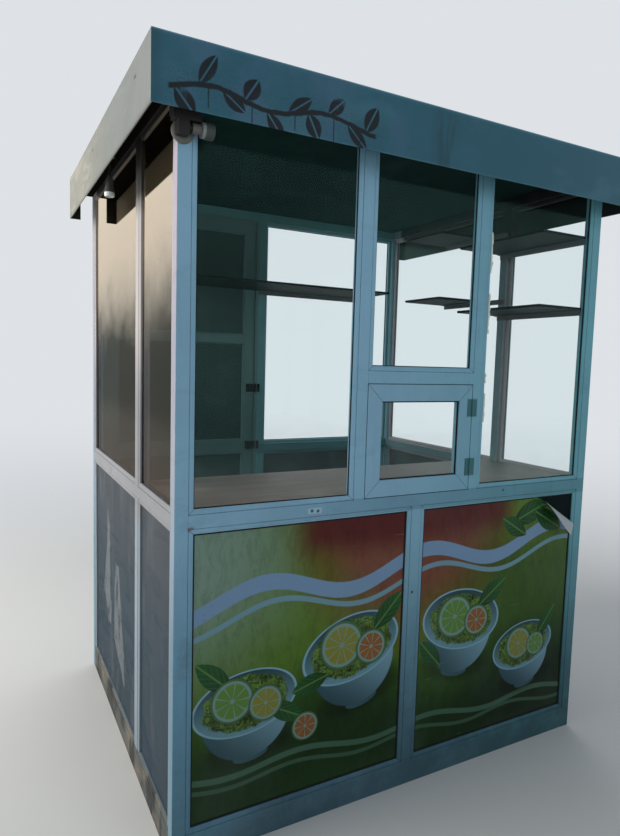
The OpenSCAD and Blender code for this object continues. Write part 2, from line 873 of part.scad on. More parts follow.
front_left_post();
front_right_post();
rear_left_post();
rear_right_post();
front_rails();
left_rails();
right_rails();
rear_rails();
front_mullions();
left_mullions();
right_mullions();
door_jamb();
front_glass();
left_glass();
right_glass();
rear_glass();
front_beads();
left_beads();
right_beads();
rear_beads();
front_panels();
left_panels();
right_panels();
rear_panel();
serving_sash();
sash_glass();
sash_gasket();
sash_hinges();
door_stiles();
door_rails();
door_boards();
door_beads();
door_locks();
door_hinges();
door_stop();
hinge_pins();
lock_keeps();
ceiling_board();
soffit_board();
roof_bearers();
roof_purlins();
roof_sheet();
front_fascia();
left_fascia();
right_fascia();
floor_deck();
floor_joists();
counter_top();
counter_battens();
shelves();
shelf_angles();
lamp_block();
corner_lamp();
side_lamp();
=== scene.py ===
"""Street kiosk: the finishes, the small fittings, the light and the camera."""
import math
import random
from contextlib import contextmanager
from functools import partialmethod

import bmesh
import bpy
from mathutils import Matrix, Vector


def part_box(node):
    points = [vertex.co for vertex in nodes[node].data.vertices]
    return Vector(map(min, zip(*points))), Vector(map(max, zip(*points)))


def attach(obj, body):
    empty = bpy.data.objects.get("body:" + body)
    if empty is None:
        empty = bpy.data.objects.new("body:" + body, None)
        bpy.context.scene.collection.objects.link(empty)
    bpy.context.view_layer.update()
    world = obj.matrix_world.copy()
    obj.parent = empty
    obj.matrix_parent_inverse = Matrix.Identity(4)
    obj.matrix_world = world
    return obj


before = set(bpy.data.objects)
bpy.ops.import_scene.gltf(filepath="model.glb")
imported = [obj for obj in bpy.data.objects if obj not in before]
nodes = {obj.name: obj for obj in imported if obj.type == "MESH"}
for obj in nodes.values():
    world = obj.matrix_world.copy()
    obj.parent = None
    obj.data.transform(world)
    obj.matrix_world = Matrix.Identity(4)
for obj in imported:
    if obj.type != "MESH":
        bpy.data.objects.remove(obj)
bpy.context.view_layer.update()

rng = random.Random(4)

# The walls' own coordinates: x along the front, y inwards from the front wall, in metres
WALL_W = 1.680
WALL_D = 1.370
WALL_X = -WALL_W / 2
WALL_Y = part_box("front_left_post")[0].y
SECTION = 0.040
BEAD = 0.016
REBATE = 0.010
WAIST_Z = 1.004
WAIST_TOP = 1.044
HEAD_Z = 2.191
BOTTOM_RAIL = 0.086
UPPER = (WAIST_TOP, HEAD_Z)
LOWER = (BOTTOM_RAIL, WAIST_Z)
# Openings of the front wall with beads round them, then the serving sash and its opening, as
# x0, x1, z0, z1, and the width of the sash's bars
FRONT_BAYS = ((0.040, 0.584, *UPPER), (0.624, 1.066, 1.459, HEAD_Z), (1.106, 1.640, *UPPER),
              (0.040, 0.820, *LOWER), (0.860, 1.640, *LOWER))
SASH = (0.626, 1.064, 1.046, 1.417)
SASH_OPENING = (0.624, 1.066, 1.044, 1.419)
SASH_FACE = 0.056
# The roof: half its width, the fascias' lower and upper edges, the sheet's first rib and first
# row of screws with the steps between them
HALF_W = 0.932
FASCIA_LOW = 2.098
FASCIA_TOP = 2.270
RIB_X, RIB_STEP = -0.9289, 0.18578
ROW_Y, ROW_STEP = -0.0765, 0.7170


# Materials
class Value:
    """A socket of a material, with arithmetic that adds Math nodes."""

    def __init__(self, finish, socket):
        self.finish = finish
        self.socket = socket

    def math(self, operation, *others):
        values = {i: v for i, v in enumerate((self, *others))}
        return self.finish.node("Math", {"operation": operation}, values)

    __add__ = __radd__ = partialmethod(math, "ADD")
    __mul__ = partialmethod(math, "MULTIPLY")
    __sub__ = partialmethod(math, "SUBTRACT")
    __truediv__ = partialmethod(math, "DIVIDE")
    __pow__ = partialmethod(math, "POWER")
    __abs__ = partialmethod(math, "ABSOLUTE")
    low_of = partialmethod(math, "MINIMUM")
    high_of = partialmethod(math, "MAXIMUM")
    sine = partialmethod(math, "SINE")
    fraction = partialmethod(math, "FRACT")

    def __rsub__(self, other):
        return (self * -1.0) + other

    def __rtruediv__(self, other):
        return (self ** -1.0) * other

    def above(self, low, high):
        """0 below low, 1 above high, with a soft step between them; high may be the lower."""
        return self.finish.node("MapRange", {"interpolation_type": "SMOOTHSTEP", "clamp": True},
                                {0: self, 1: low, 2: high})


class Finish:
    """One material: its tree, its coordinates and its surface."""

    def __init__(self, name):
        self.material = bpy.data.materials.new(name)
        self.material.use_nodes = True
        self.tree = self.material.node_tree
        self.tree.nodes.clear()
        self.place = self.node("TexCoord", out="Object")
        self.x = self.node("SeparateXYZ", None, {0: self.place})
        parts = self.x.socket.node
        self.y = Value(self, parts.outputs[1])
        self.z = Value(self, parts.outputs[2])

    @property
    def wall_x(self):
        """How far a point lies from the left end of the front wall."""
        return self.x - WALL_X

    @property
    def wall_y(self):
        """How far a point lies behind the front wall's outer face."""
        return self.y - WALL_Y

    def node(self, kind, settings=None, sockets=None, out=0):
        """Adds any node: its settings first, then the values or links of its sockets."""
        made = self.tree.nodes.new("ShaderNode" + kind)
        for name, value in (settings or {}).items():
            if name == "stops":
                ramp = made.color_ramp
                while len(ramp.elements) < len(value):
                    ramp.elements.new(0.5)
                for element, (place, colour) in zip(ramp.elements, value):
                    element.position = place
                    element.color = (*colour, 1.0)
            else:
                setattr(made, name, value)
        for name, value in (sockets or {}).items():
            if isinstance(value, Value):
                self.tree.links.new(value.socket, made.inputs[name])
            elif isinstance(value, tuple) and made.inputs[name].type == "RGBA" and len(value) == 3:
                made.inputs[name].default_value = (*value, 1.0)
            else:
                made.inputs[name].default_value = value
        return Value(self, made.outputs[out])

    def mapped(self, scale=(1, 1, 1), turn=(0, 0, 0), move=(0, 0, 0)):
        return self.node("Mapping", None, {"Vector": self.place, "Scale": scale, "Rotation": turn,
                                           "Location": move})

    def noise(self, scale, detail=4.0, rough=0.55, place=None, swirl=0.0):
        return self.node("TexNoise", None, {"Vector": place or self.place, "Scale": scale,
                                            "Detail": detail, "Roughness": rough,
                                            "Distortion": swirl})

    def cells(self, scale):
        return self.node("TexVoronoi", None, {"Vector": self.place, "Scale": scale})

    def mix(self, amount, first, second, blend="MIX"):
        return self.node("Mix", {"data_type": "RGBA", "blend_type": blend},
                         {0: amount, 6: first, 7: second}, out=2)

    def dim(self, amount, tone, share):
        """Darkens a colour to a share of itself, the same or its own for each channel."""
        share = share if isinstance(share, tuple) else (share,) * 3
        return self.mix(amount, tone, share, "MULTIPLY")

    def within(self, value, low, high, soft):
        """1 between low and high, with soft ends."""
        return (value - low).above(-soft, soft) * (high - value).above(-soft, soft)

    def bump(self, height, distance, strength=1.0, under=None):
        sockets = {"Height": height, "Distance": distance, "Strength": strength}
        if under:
            sockets["Normal"] = under
        return self.node("Bump", None, sockets)

    def skin(self, **sockets):
        """The surface shader: sockets by their names, with _ for a space."""
        return self.node("BsdfPrincipled", None,
                         {name.replace("_", " "): value for name, value in sockets.items()})

    def out(self, shader):
        end = self.tree.nodes.new("ShaderNodeOutputMaterial")
        self.tree.links.new(shader.socket, end.inputs["Surface"])
        return self.material


def rgb(r, g, b):
    """A colour given as seen on a screen, 0 to 255."""
    def line(v):
        v = v / 255
        return v / 12.92 if v <= 0.04045 else ((v + 0.055) / 1.055) ** 2.4
    return (line(r), line(g), line(b))


def paler(colour, share, lift):
    return tuple(min(1.0, c * share + lift) for c in colour)


def darker(colour, share):
    return tuple(c * share for c in colour)


def powder_coat(name, colour, grime=1.0, mud=0.12, low=(0.42, 0.50, 0.50), sides=None, marks=None,
                inner=(0.48, 0.66, 0.52), deep=0.0290):
    """White coating on aluminium: fine peel, dust, grime that runs down, splashes near the ground.

    sides are the colours of the outermost faces, below and above: painted light and shade. low is
    the share to which a painted shade darkens the coat toward the ground. The faces that look into
    the room, up to the depth deep from the rear, are dimmed to the share inner: painted shade.
    """
    f = Finish(name)
    cloud = f.noise(2.4, 5, 0.6)
    fine = f.noise(70, 3, 0.6)
    runs = f.noise(9, 4, 0.65, f.mapped((6, 6, 0.5))).above(0.56, 0.78)
    smears = f.noise(5.5, 6, 0.7, f.mapped((1, 1, 2.2), (0.4, 0.3, 0.2)), 0.8).above(0.52, 0.72)
    splash = f.z.above(0.34, 0.03) * f.noise(16, 5, 0.7).above(0.35, 0.62)
    specks = f.cells(95).above(0.17, 0.09) * f.noise(4.5, 3).above(0.55, 0.66)
    nick = f.cells(34).above(0.085, 0.05) * f.noise(7.5, 3).above(0.6, 0.68)
    tone = colour
    # Painted light and shade: the outermost faces cooler and darker below, paler and warmer above
    if sides:
        outer = (abs(f.x) + WALL_X).above(-0.0012, -0.0004)
        tone = f.mix(outer, tone, f.mix(f.z.above(0.5, 2.1), *sides))
    tone = f.dim(cloud.above(0.35, 0.7) * 0.5, tone, 0.74)
    tone = f.mix((runs * 0.26 + smears * 0.20) * grime, tone, f.dim(1.0, tone, (0.62, 0.56, 0.50)))
    # Painted shade: darker toward the ground, to the share low
    tone = f.dim((f.z + cloud * 0.25).above(1.15, 0.12), tone, low)
    tone = f.mix((f.z + f.noise(3.5, 4) * 0.05).above(0.125, 0.075) * mud, tone, rgb(112, 104, 90))
    tone = f.mix(splash * (mud * 0.6 + 0.05), tone, rgb(58, 58, 52))
    tone = f.mix((specks * 0.55).high_of(nick * 0.8) * grime, tone, rgb(44, 48, 48))
    # Painted shade: the faces that look into the room are dimmed to the share inner
    room = f.within(abs(f.x), -1.0, -WALL_X - SECTION + 0.0005, 0.0004) \
        * f.within(f.wall_y, 0.35, WALL_D - deep, 0.0006)
    tone = f.dim(room, tone, inner)
    if marks:
        tone = marks(f, tone)
    rough = 0.42 + cloud * 0.14 + (runs + smears + splash) * 0.14
    dents = f.bump(f.noise(7, 2), 0.0016, 0.35)
    peel = f.bump(fine - nick * 0.8, 0.0004, 0.35, dents)
    return f.out(f.skin(Base_Color=tone, Roughness=rough, Normal=peel, Specular_IOR_Level=0.35))


def pane(name, haze, clear, base_share, grazing, power, tones, sheen=(1.0, 1.0, 1.0), low=1.0):
    """A thin clear pane: light passes, the sky lies on it, dust and wiped smears show on it.

    tones are the colours of a painted reflection, from its foot to its head, which sheen tints; low
    is the share of that painted reflection on its lower part.
    """
    f = Finish(name)
    facing = f.node("LayerWeight", None, {"Blend": 0.5}, out="Facing")
    film = f.noise(2.2, 6, 0.62, f.mapped((1, 1, 1.6), (0.2, 0.5, 0.1)), 1.2).above(0.40, 0.78)
    wipes = f.noise(3.2, 5, 0.7, f.mapped((2.6, 2.6, 0.55), (0.5, 0.35, 0)), 1.6).above(0.55, 0.74)
    bottom = (f.z - WAIST_TOP).above(0.30, 0.02)
    grain = f.noise(220, 2).above(0.60, 0.74)
    dust = film * 0.006 + wipes * 0.010 + bottom * 0.040 * (0.4 + film) + grain * 0.04 * bottom
    dust = dust * haze
    share = dust.above(0.01, 0.16)
    height = (f.z + film * 0.05 - wipes * 0.03 - 1.0) / 1.2
    # Painted reflection: the colours that the pane mirrors, by height
    painted_reflection_tone = f.node("ValToRGB", {"stops": tones}, {0: height})
    # Painted reflection: full above about 1.5 m, the share low lower down, at least 0.15 below 1.22
    # m
    sky = (f.z + (f.noise(5, 4, 0.6) - 0.5) * 0.30).above(1.50, 1.80) * (1.0 - low) + low
    sky = sky.high_of(f.z.above(1.46, 1.22) * 0.15)
    mirror = (base_share + (facing ** power) * grazing).low_of(1.0) * sky
    base = f.mix(share, painted_reflection_tone, rgb(150, 146, 136))
    skin = f.skin(Base_Color=base, Metallic=1.0 - share, Roughness=0.03 + share * 0.6,
                  Specular_Tint=sheen)
    through = f.node("BsdfTransparent", None, {"Color": clear})
    return f.out(f.node("MixShader", None, {0: (mirror + dust).low_of(1.0), 1: through, 2: skin}))


def wood(name, light, dark, axis=0, scale=1.0, wear=0.3, coat=0.55, marks=None, gloss=0.5):
    """Board or sawn timber with the grain along one axis."""
    f = Finish(name)
    stretch = [9.0 * scale] * 3
    stretch[axis] = 0.9 * scale
    grain = f.noise(3.0, 7, 0.68, f.mapped(tuple(stretch)), 0.9)
    lines = f.noise(14.0, 3, 0.6, f.mapped(tuple(stretch)), 0.2).above(0.42, 0.66)
    worn = f.noise(2.1, 5, 0.6).above(0.45, 0.70)
    stain = f.noise(4.2, 5, 0.62, None, 0.6).above(0.60, 0.74)
    tone = f.mix(grain.above(0.30, 0.72), dark, light)
    tone = f.mix(lines * 0.35, tone, dark)
    tone = f.mix(worn * wear, tone, paler(light, 1.5, 0.05))
    tone = f.mix(stain * 0.45, tone, darker(dark, 0.35))
    if marks:
        tone = marks(f, tone)
    rough = coat + grain * 0.2
    return f.out(f.skin(Base_Color=tone, Roughness=rough, Specular_IOR_Level=gloss,
                        Normal=f.bump(grain + lines * 0.4, 0.0010, 0.5)))


def sheet_weather(f):
    """Clouds, wiped smears and runs of a sheet."""
    cloud = f.noise(1.6, 5, 0.6, None, 0.8)
    wipe = f.noise(3.4, 6, 0.66, f.mapped((0.8, 0.8, 2.0), (0.5, 0.2, 0.3)), 1.4).above(0.48, 0.72)
    runs = f.noise(7.0, 4, 0.6, f.mapped((5, 5, 0.6))).above(0.55, 0.75)
    return cloud, wipe, runs


def sheet_metal(name, colour, dark, smears=0.4, metallic=0.0, rough=0.42, wave=0.004, gloss=0.3,
                marks=None, grain=0.3):
    """Painted or bare sheet: slight waves, wiped smears, runs, fine scratches."""
    f = Finish(name)
    cloud, wipe, runs = sheet_weather(f)
    scratch = f.noise(8, 3, 0.6, f.mapped((0.5, 0.5, 9.0), (0.2, 0.9, 0.4)), 0.3).above(0.69, 0.72)
    specks = f.cells(80).above(0.13, 0.07) * f.noise(5, 3).above(0.52, 0.64)
    tone = f.mix(cloud.above(0.32, 0.70) * 0.55, colour, dark)
    tone = f.mix(wipe * smears, tone, paler(colour, 1.30, 0.02))
    tone = f.mix(runs * smears * 0.55, tone, dark)
    tone = f.mix(scratch * 0.35, tone, paler(colour, 1.5, 0.03))
    tone = f.mix(specks * 0.7, tone, darker(dark, 0.25))
    if marks:
        tone = marks(f, tone)
    shine = rough + wipe * 0.18 + cloud * 0.10
    waves = f.bump(f.noise(2.6, 2, 0.4), wave, 0.6)
    fine = f.bump(scratch * -0.4 + f.noise(160, 2) * grain, 0.0003, 0.4, waves)
    return f.out(f.skin(Base_Color=tone, Metallic=metallic, Roughness=shine,
                        Specular_IOR_Level=gloss, Normal=fine))


def strip(f, z0, z1, low_edges, high_edges):
    """Mask of an upright strip on a side wall, between two heights and two pairs of edges."""
    y = f.wall_y
    t = (f.z - z0) / (z1 - z0)
    near = t * (high_edges[0] - low_edges[0]) + low_edges[0]
    far = t * (high_edges[1] - low_edges[1]) + low_edges[1]
    torn = (f.noise(22, 4, 0.65) - 0.5) * 0.030
    y = y + (f.noise(5.5, 3, 0.6) - 0.5) * 0.11
    return (y - near + torn).above(-0.002, 0.002) * (far - y + torn).above(-0.002, 0.002) \
        * (f.z - z0 + torn).above(-0.002, 0.002) * (z1 - f.z + torn).above(-0.002, 0.002)


def film_residue(f, tone):
    """The boards darker and bluer toward the bottom, strips of old film left on the boards of the
    left wall, a faint film and darker patches.
    """
    left = (f.x * -1.0).above(0.80, 0.81)
    tone = f.dim(f.z.above(0.98, 0.50), tone, (0.36, 0.63, 0.78))
    strips = strip(f, 0.440, 0.830, (0.985, 1.150), (1.022, 1.036))
    for part in ((0.345, 0.450, (0.975, 1.040), (0.965, 1.110)),
                 (0.190, 0.330, (0.700, 0.706), (0.714, 0.925)),
                 (0.312, 0.645, (0.716, 0.905), (0.830, 0.898))):
        strips = strips.high_of(strip(f, *part))
    strips = strips * f.noise(9, 6, 0.7, f.mapped((1, 1.6, 0.6))).above(0.39, 0.47)
    patchy = f.noise(26, 5, 0.7).above(0.34, 0.52) * 0.6 + 0.4
    tone = f.mix(strips * patchy * left, tone, rgb(92, 98, 102))
    faint = f.noise(5, 5, 0.65, f.mapped((1, 2.4, 0.5))).above(0.52, 0.70)
    tone = f.mix(faint * 0.30, tone, rgb(96, 100, 104))
    shadow = f.noise(3.4, 4, 0.6, f.mapped((1, 1.6, 0.7), move=(0.3, 0.8, 0.1)))
    return f.dim(shadow.above(0.50, 0.66) * 0.5, tone, (0.62, 0.66, 0.70))


def fascia_marks(f, tone):
    """Chalky smears toward the rear, two small dark scuffs, other colours on the inner faces,
    painted shade on the folded rear ends.
    """
    y = f.wall_y
    rear = y.above(0.45, 0.95)
    tone = f.mix(y.above(0.2, 1.1), f.dim(1.0, tone, (0.80, 0.83, 0.87)),
                 f.dim(1.0, tone, (1.0, 0.96, 0.90)))
    chalk = f.noise(6, 6, 0.7, f.mapped((1, 0.5, 2.4), (0.3, 0, 0)), 1.0).above(0.50, 0.66)
    tone = f.mix(chalk * (rear * 0.42 + 0.08), tone, rgb(170, 168, 158))
    for y0, y1, z0, z1 in ((0.070, 0.094, 2.215, 2.222), (0.761, 0.784, 2.219, 2.227)):
        scuff = f.within(y, y0, y1, 0.003) * f.within(f.z, z0, z1, 0.002)
        tone = f.mix(scuff * (f.x * -1.0).above(0.90, 0.92) * 0.8, tone, rgb(40, 42, 42))
    tone = f.dim((f.z - FASCIA_LOW).above(0.020, 0.0) * 0.5, tone, 0.55)
    inner = f.mix(f.x.above(-0.1, 0.1), rgb(160, 156, 143), rgb(34, 46, 42))
    # Painted shade: the folded rear ends near black
    folded_end = f.within(f.y, 0.720, 0.7455, 0.0003)
    inner = f.mix(folded_end, inner, rgb(34, 34, 30))
    return f.mix(abs(f.x).above(HALF_W - 0.0008, HALF_W - 0.0020), tone, inner)


def side_painted_light_and_dirt(f, tone):
    """Painted light and shade on the side walls: paler and warmer high on the left wall, cooler and
    bluer lower down, near black under the overhang; the bottom rails darker, with tan dirt and dark
    stains.
    """
    y = f.wall_y
    left_wall = (f.x * -1.0).above(0.80, 0.81)
    # Painted light: the upper part of the left wall paler and warmer
    tone = f.mix(left_wall * f.z.above(1.30, 1.62) * 0.7, tone, rgb(186, 178, 174))
    # Painted shade: the lower part of the left wall cooler and bluer
    lower = f.z.above(0.96, 0.90) * f.z.above(0.088, 0.096)
    tone = f.mix(left_wall * lower * 0.6, tone, rgb(130, 148, 160))
    # Painted shade: near black under the overhang
    tone = f.dim((f.z + f.noise(5, 4) * 0.06).above(1.95, 2.06) * y.above(1.27, 1.24), tone, 0.06)
    rail_part = f.z.above(BOTTOM_RAIL + 0.0165, BOTTOM_RAIL + 0.0150)
    tone = f.mix(rail_part * 0.85, tone, rgb(66, 72, 68))
    tan = f.noise(7, 5, 0.65, f.mapped((1, 0.8, 2.0))).above(0.46, 0.62)
    tone = f.mix(rail_part * tan * 0.8, tone, rgb(112, 102, 88))
    soaked = f.noise(8, 3, 0.55, f.mapped((1, 1, 0.5), move=(0, 0.3, 0))).above(0.50, 0.58)
    tone = f.mix(rail_part * soaked * 0.85, tone, rgb(32, 36, 34))
    stain = f.within(y, 0.66, 0.94, 0.03) * f.within(f.z, 0.050, 0.090, 0.008)
    return f.mix(stain * f.noise(12, 4).above(0.32, 0.5) * 0.8, tone, rgb(34, 36, 34))


def overhang_shade(f, tone):
    """Painted shade: the boards are drawn near black-brown outside the walls."""
    room = f.within(f.x, WALL_X, -WALL_X, 0.002) * f.wall_y.above(-0.001, 0.001)
    painted_shade = f.mix(f.noise(6, 4).above(0.3, 0.7), rgb(20, 18, 13), rgb(11, 11, 9))
    return f.mix(1.0 - room, tone, painted_shade)


def to_nearest(place, step):
    """Distance to the nearest multiple of a step."""
    return abs((place / step).fraction() - 0.5) * -step + step / 2


def roof_marks(f, tone):
    """Dust along the low rear edge and rust round the screws."""
    dust = f.y.above(0.1, 0.75) * f.noise(7, 5, 0.65).above(0.35, 0.65)
    tone = f.mix(dust * 0.5, tone, rgb(112, 100, 84))
    across = to_nearest(f.x - RIB_X, RIB_STEP)
    along = to_nearest(f.wall_y - ROW_Y, ROW_STEP)
    reach = (across * across + along * along) ** 0.5
    run = across.above(0.010, 0.004) * f.noise(7, 3, 0.6, f.mapped((9, 1, 1))).above(0.50, 0.62)
    rust = (reach + (f.noise(60, 4, 0.6) - 0.5) * 0.016).above(0.026, 0.012).high_of(run * 0.5)
    return f.mix(rust * 0.75, tone, rgb(104, 70, 46))


def right_shade(f, tone):
    """Painted shade: the coating is drawn greener and darker toward the right end of the front."""
    front = f.wall_y.above(0.6, 0.1)
    return f.dim(f.wall_x.above(0.45, 1.65) * front, tone, (0.55, 0.83, 0.74))


def mitres(f, x0, x1, z0, z1, face):
    """Thin lines where the mitred ends of a frame's bars meet."""
    u = (x1 - x0) / 2 - abs(f.wall_x - (x0 + x1) / 2)
    w = (z1 - z0) / 2 - abs(f.z - (z0 + z1) / 2)
    return abs(u - w).above(0.0016, 0.0007) * u.low_of(w).above(-0.001, 0.0) \
        * u.high_of(w).above(face + 0.001, face)


def sash_marks(f, tone):
    """Mitre lines of the serving sash, and the painted shade toward the right end of the front."""
    front = f.wall_y.above(0.1, 0.08)
    return f.dim(mitres(f, *SASH, SASH_FACE) * front * 0.8, right_shade(f, tone), 0.30)


def front_marks(f, tone):
    """Mitre lines of the beads, painted shade toward the right, under the overhang, toward the
    ground, along the waist rail and on the lower left post, smudges on the left post, the wiped
    patch round the waist screws, a nick on the lower mullion."""
    x = f.wall_x
    tone = right_shade(f, tone)
    for bay in FRONT_BAYS:
        tone = f.dim(mitres(f, *bay, BEAD) * f.wall_y.above(0.1, 0.08) * 0.8, tone, 0.30)
    # Painted shade: the upper ends of the front frame darker under the overhang
    tone = f.dim(f.z.above(1.98, 2.16) * 0.8, tone, (0.72, 0.82, 0.80))
    # Painted shade: darker toward the ground, right of the left post
    painted_shade_toward_ground = f.z.above(0.95, 0.12) * x.above(0.10, 0.35) \
        * (f.noise(6, 5, 0.65).above(0.30, 0.60) * 0.4 + 0.6)
    tone = f.dim(painted_shade_toward_ground, tone, (0.44, 0.50, 0.52))
    # Painted shade: the waist rail darker toward the right
    waist = f.within(f.z, 0.992, 1.048, 0.004)
    tone = f.dim(waist * x.above(0.15, 0.75), tone, (0.66, 0.72, 0.74))
    # Painted shade: the left post cooler and darker toward the ground, its outer face most
    tone = f.mix(x.above(0.0012, 0.0004) * f.z.above(0.75, 0.10) * 0.7, tone, rgb(128, 152, 162))
    tone = f.dim(f.z.above(1.10, 0.50) * x.above(0.30, 0.05), tone, (0.78, 0.91, 0.95))
    smudge = f.within(x, 0.012, 0.052, 0.010) * f.within(f.z, 0.560, 0.700, 0.05) \
        * f.noise(22, 5, 0.65).above(0.40, 0.60)
    tone = f.mix(smudge * 0.35, tone, rgb(78, 98, 104))
    joint = f.within(x, 0.038, 0.058, 0.004) * f.within(f.z, 0.996, 1.010, 0.003) \
        * f.noise(40, 4, 0.6).above(0.42, 0.58)
    tone = f.mix(joint * 0.7, tone, rgb(96, 66, 46))
    patch = f.within(x, 0.420, 0.468, 0.004) * f.within(f.z, 1.013, 1.031, 0.003)
    tone = f.mix(patch * 0.55, tone, rgb(176, 196, 208))
    nick = ((x - 0.835) * (x - 0.835) + (f.z - 0.702) * (f.z - 0.702)) ** 0.5
    return f.mix(nick.above(0.0065, 0.0035) * 0.85, tone, rgb(20, 24, 26))


def pale_back(f, tone):
    """The front boards are paler on the side that looks into the room."""
    return f.mix(f.wall_y.above(0.0122, 0.0134), tone, rgb(74, 80, 78))


def counter_shade(f, tone):
    """Painted shade: the counter is drawn greener and darker toward its right end."""
    return f.dim(f.wall_x.above(0.35, 1.55), tone, (0.42, 0.52, 0.48))


def corner_lamp_parts(f, tone):
    """Collar, neck, rim and skirt of the corner lamp, by the distance from the wooden pad: its pale
    plastic drawn in greys, the collar near black, as painted shade.
    """
    reach = f.wall_x - 0.020
    free = f.wall_y.above(-0.0115, -0.0135)
    # Painted shade: the collar near black
    tone = f.mix(free, tone, rgb(26, 26, 24))
    tone = f.mix(free * reach.above(0.0085, 0.0095), tone, rgb(94, 91, 88))
    tone = f.mix(free * reach.above(0.0335, 0.0345), tone, rgb(122, 128, 126))
    return f.mix(free * reach.above(0.0415, 0.0435), tone, rgb(62, 70, 66))


def side_lamp_parts(f, tone):
    """The side lamp: its tube and the upper part of its holder drawn dark as painted shade, the
    lower end of the holder pale.
    """
    # Painted shade: the tube and holder dark
    tone = f.mix(f.z.above(2.186, 2.184), tone, rgb(36, 36, 34))
    tone = f.mix(f.z.above(2.122, 2.121), tone, rgb(66, 66, 62))
    return f.mix(f.z.above(2.065, 2.063), tone, rgb(222, 224, 220))


def turned(f, cx, cz, turn):
    """Coordinates along and across a motif centred at cx, cz and turned by an angle."""
    dx, dz = f.x - cx, f.z - cz
    c, s = math.cos(turn), math.sin(turn)
    return dx * c + dz * s, dz * c - dx * s


def leaf_shape(f, cx, cz, length, width, turn):
    """Places along and across a pointed leaf, and how far inside its edge they are."""
    u, v = turned(f, cx, cz, turn)
    u, v = u * (2 / length), abs(v * (2 / width))
    return u, v, 1.0 - u * u - v


def leaf(f, tone, cx, cz, length, width, turn):
    """A green leaf with a rib and side veins."""
    green = rgb(30, 78, 36)
    u, v, inside = leaf_shape(f, cx, cz, length, width, turn)
    rib = v.above(0.11, 0.05)
    side = abs(((u - v * 0.7) * 9.0).sine()).above(0.22, 0.08)
    shade = f.mix((u * 0.5 + 0.5).above(0.0, 1.0), darker(green, 0.55), green)
    shade = f.mix(rib.high_of(side * 0.5), shade, rgb(78, 112, 58))
    return f.mix(inside.above(0.0, 0.05), tone, shade)


def fruit_slice(f, tone, cx, cz, radius, parts, flesh):
    """A round slice of fruit: shadow, rind, pith and the parts of its flesh."""
    dx, dz = f.x - cx, f.z - cz
    reach = ((dx * dx + dz * dz) ** 0.5) * (1 / radius)
    angle = dz.math("ARCTAN2", dx)
    wedge = abs((angle * (parts / 2)).sine()).above(0.10, 0.30)
    pulp = f.noise(70, 3, 0.6)
    inner = reach.above(0.80, 0.74) * reach.above(0.08, 0.14) * wedge
    tone = f.mix(reach.above(1.10, 0.98) * 0.5, tone, rgb(30, 40, 20))
    tone = f.mix(reach.above(1.0, 0.985), tone, rgb(64, 98, 62))
    tone = f.mix(reach.above(0.91, 0.88), tone, rgb(112, 140, 132))
    return f.mix(inner * (0.75 + pulp * 0.5).low_of(1.0), tone, flesh)


def swell(f, tone, z0, slope, height, length, shift, half, colour):
    """A band that swings across the print; half is half its width."""
    line = f.x * slope + ((f.x * (2 * math.pi / length) + shift).sine()) * height + z0
    return f.mix(abs(f.z - line).above(half + 0.004, half), tone, colour)


def bowl(f, tone, cx, cz, wide, high, turn):
    """Pale bowl seen a little from above: shadow, foot, body, rim, inside and a heap of greens."""
    u, v = turned(f, cx, cz, turn)
    across = (u / wide) ** 2.0

    def oval(up, tall, share=1.0):
        return (across / (share * share) + ((v - up) / tall) ** 2.0) ** 0.5
    tone = f.dim(oval(-high * 1.15, high * 0.55, 0.95).above(1.10, 0.60) * 0.8, tone, 0.25)
    foot = oval(-high * 1.38, high * 0.16, 0.34).above(1.0, 0.92)
    tone = f.mix(foot, tone, rgb(54, 84, 92))
    body = oval(-high * 0.30, high * 1.15, 0.84).above(1.0, 0.975) \
        * v.above(high * 0.2, -high * 0.05)
    side = (u / wide * 0.5 + 0.5 + v / high * 0.35 + 0.25).above(0.0, 1.0)
    tone = f.mix(body, tone, f.mix(side, rgb(44, 72, 82), rgb(112, 150, 164)))
    rim = oval(0.0, high * 0.82)
    tone = f.mix(rim.above(1.0, 0.98), tone, rgb(122, 162, 176))
    depth = f.mix((v / high * 0.5 + 0.5).above(0.1, 0.9), rgb(100, 140, 152), rgb(40, 66, 72))
    tone = f.mix(rim.above(0.955, 0.935), tone, depth)
    ragged = rim + (f.noise(38, 3, 0.6) - 0.5) * 0.30
    leafy = f.noise(52, 5, 0.7, None, 1.6).above(0.36, 0.60)
    heap = f.mix(leafy, rgb(20, 52, 20), rgb(96, 126, 52))
    heap = f.mix(f.cells(85).above(0.22, 0.10), heap, rgb(146, 166, 118))
    heap = f.dim(f.noise(26, 4, 0.6).above(0.50, 0.64) * 0.8, heap, 0.35)
    heap = f.dim((v / high).above(0.1, -0.75) * 0.45, heap, 0.45)
    return f.mix(ragged.above(0.86, 0.78), tone, heap)


LIME, LEMON, ORANGE = rgb(86, 124, 50), rgb(122, 122, 46), rgb(132, 84, 40)


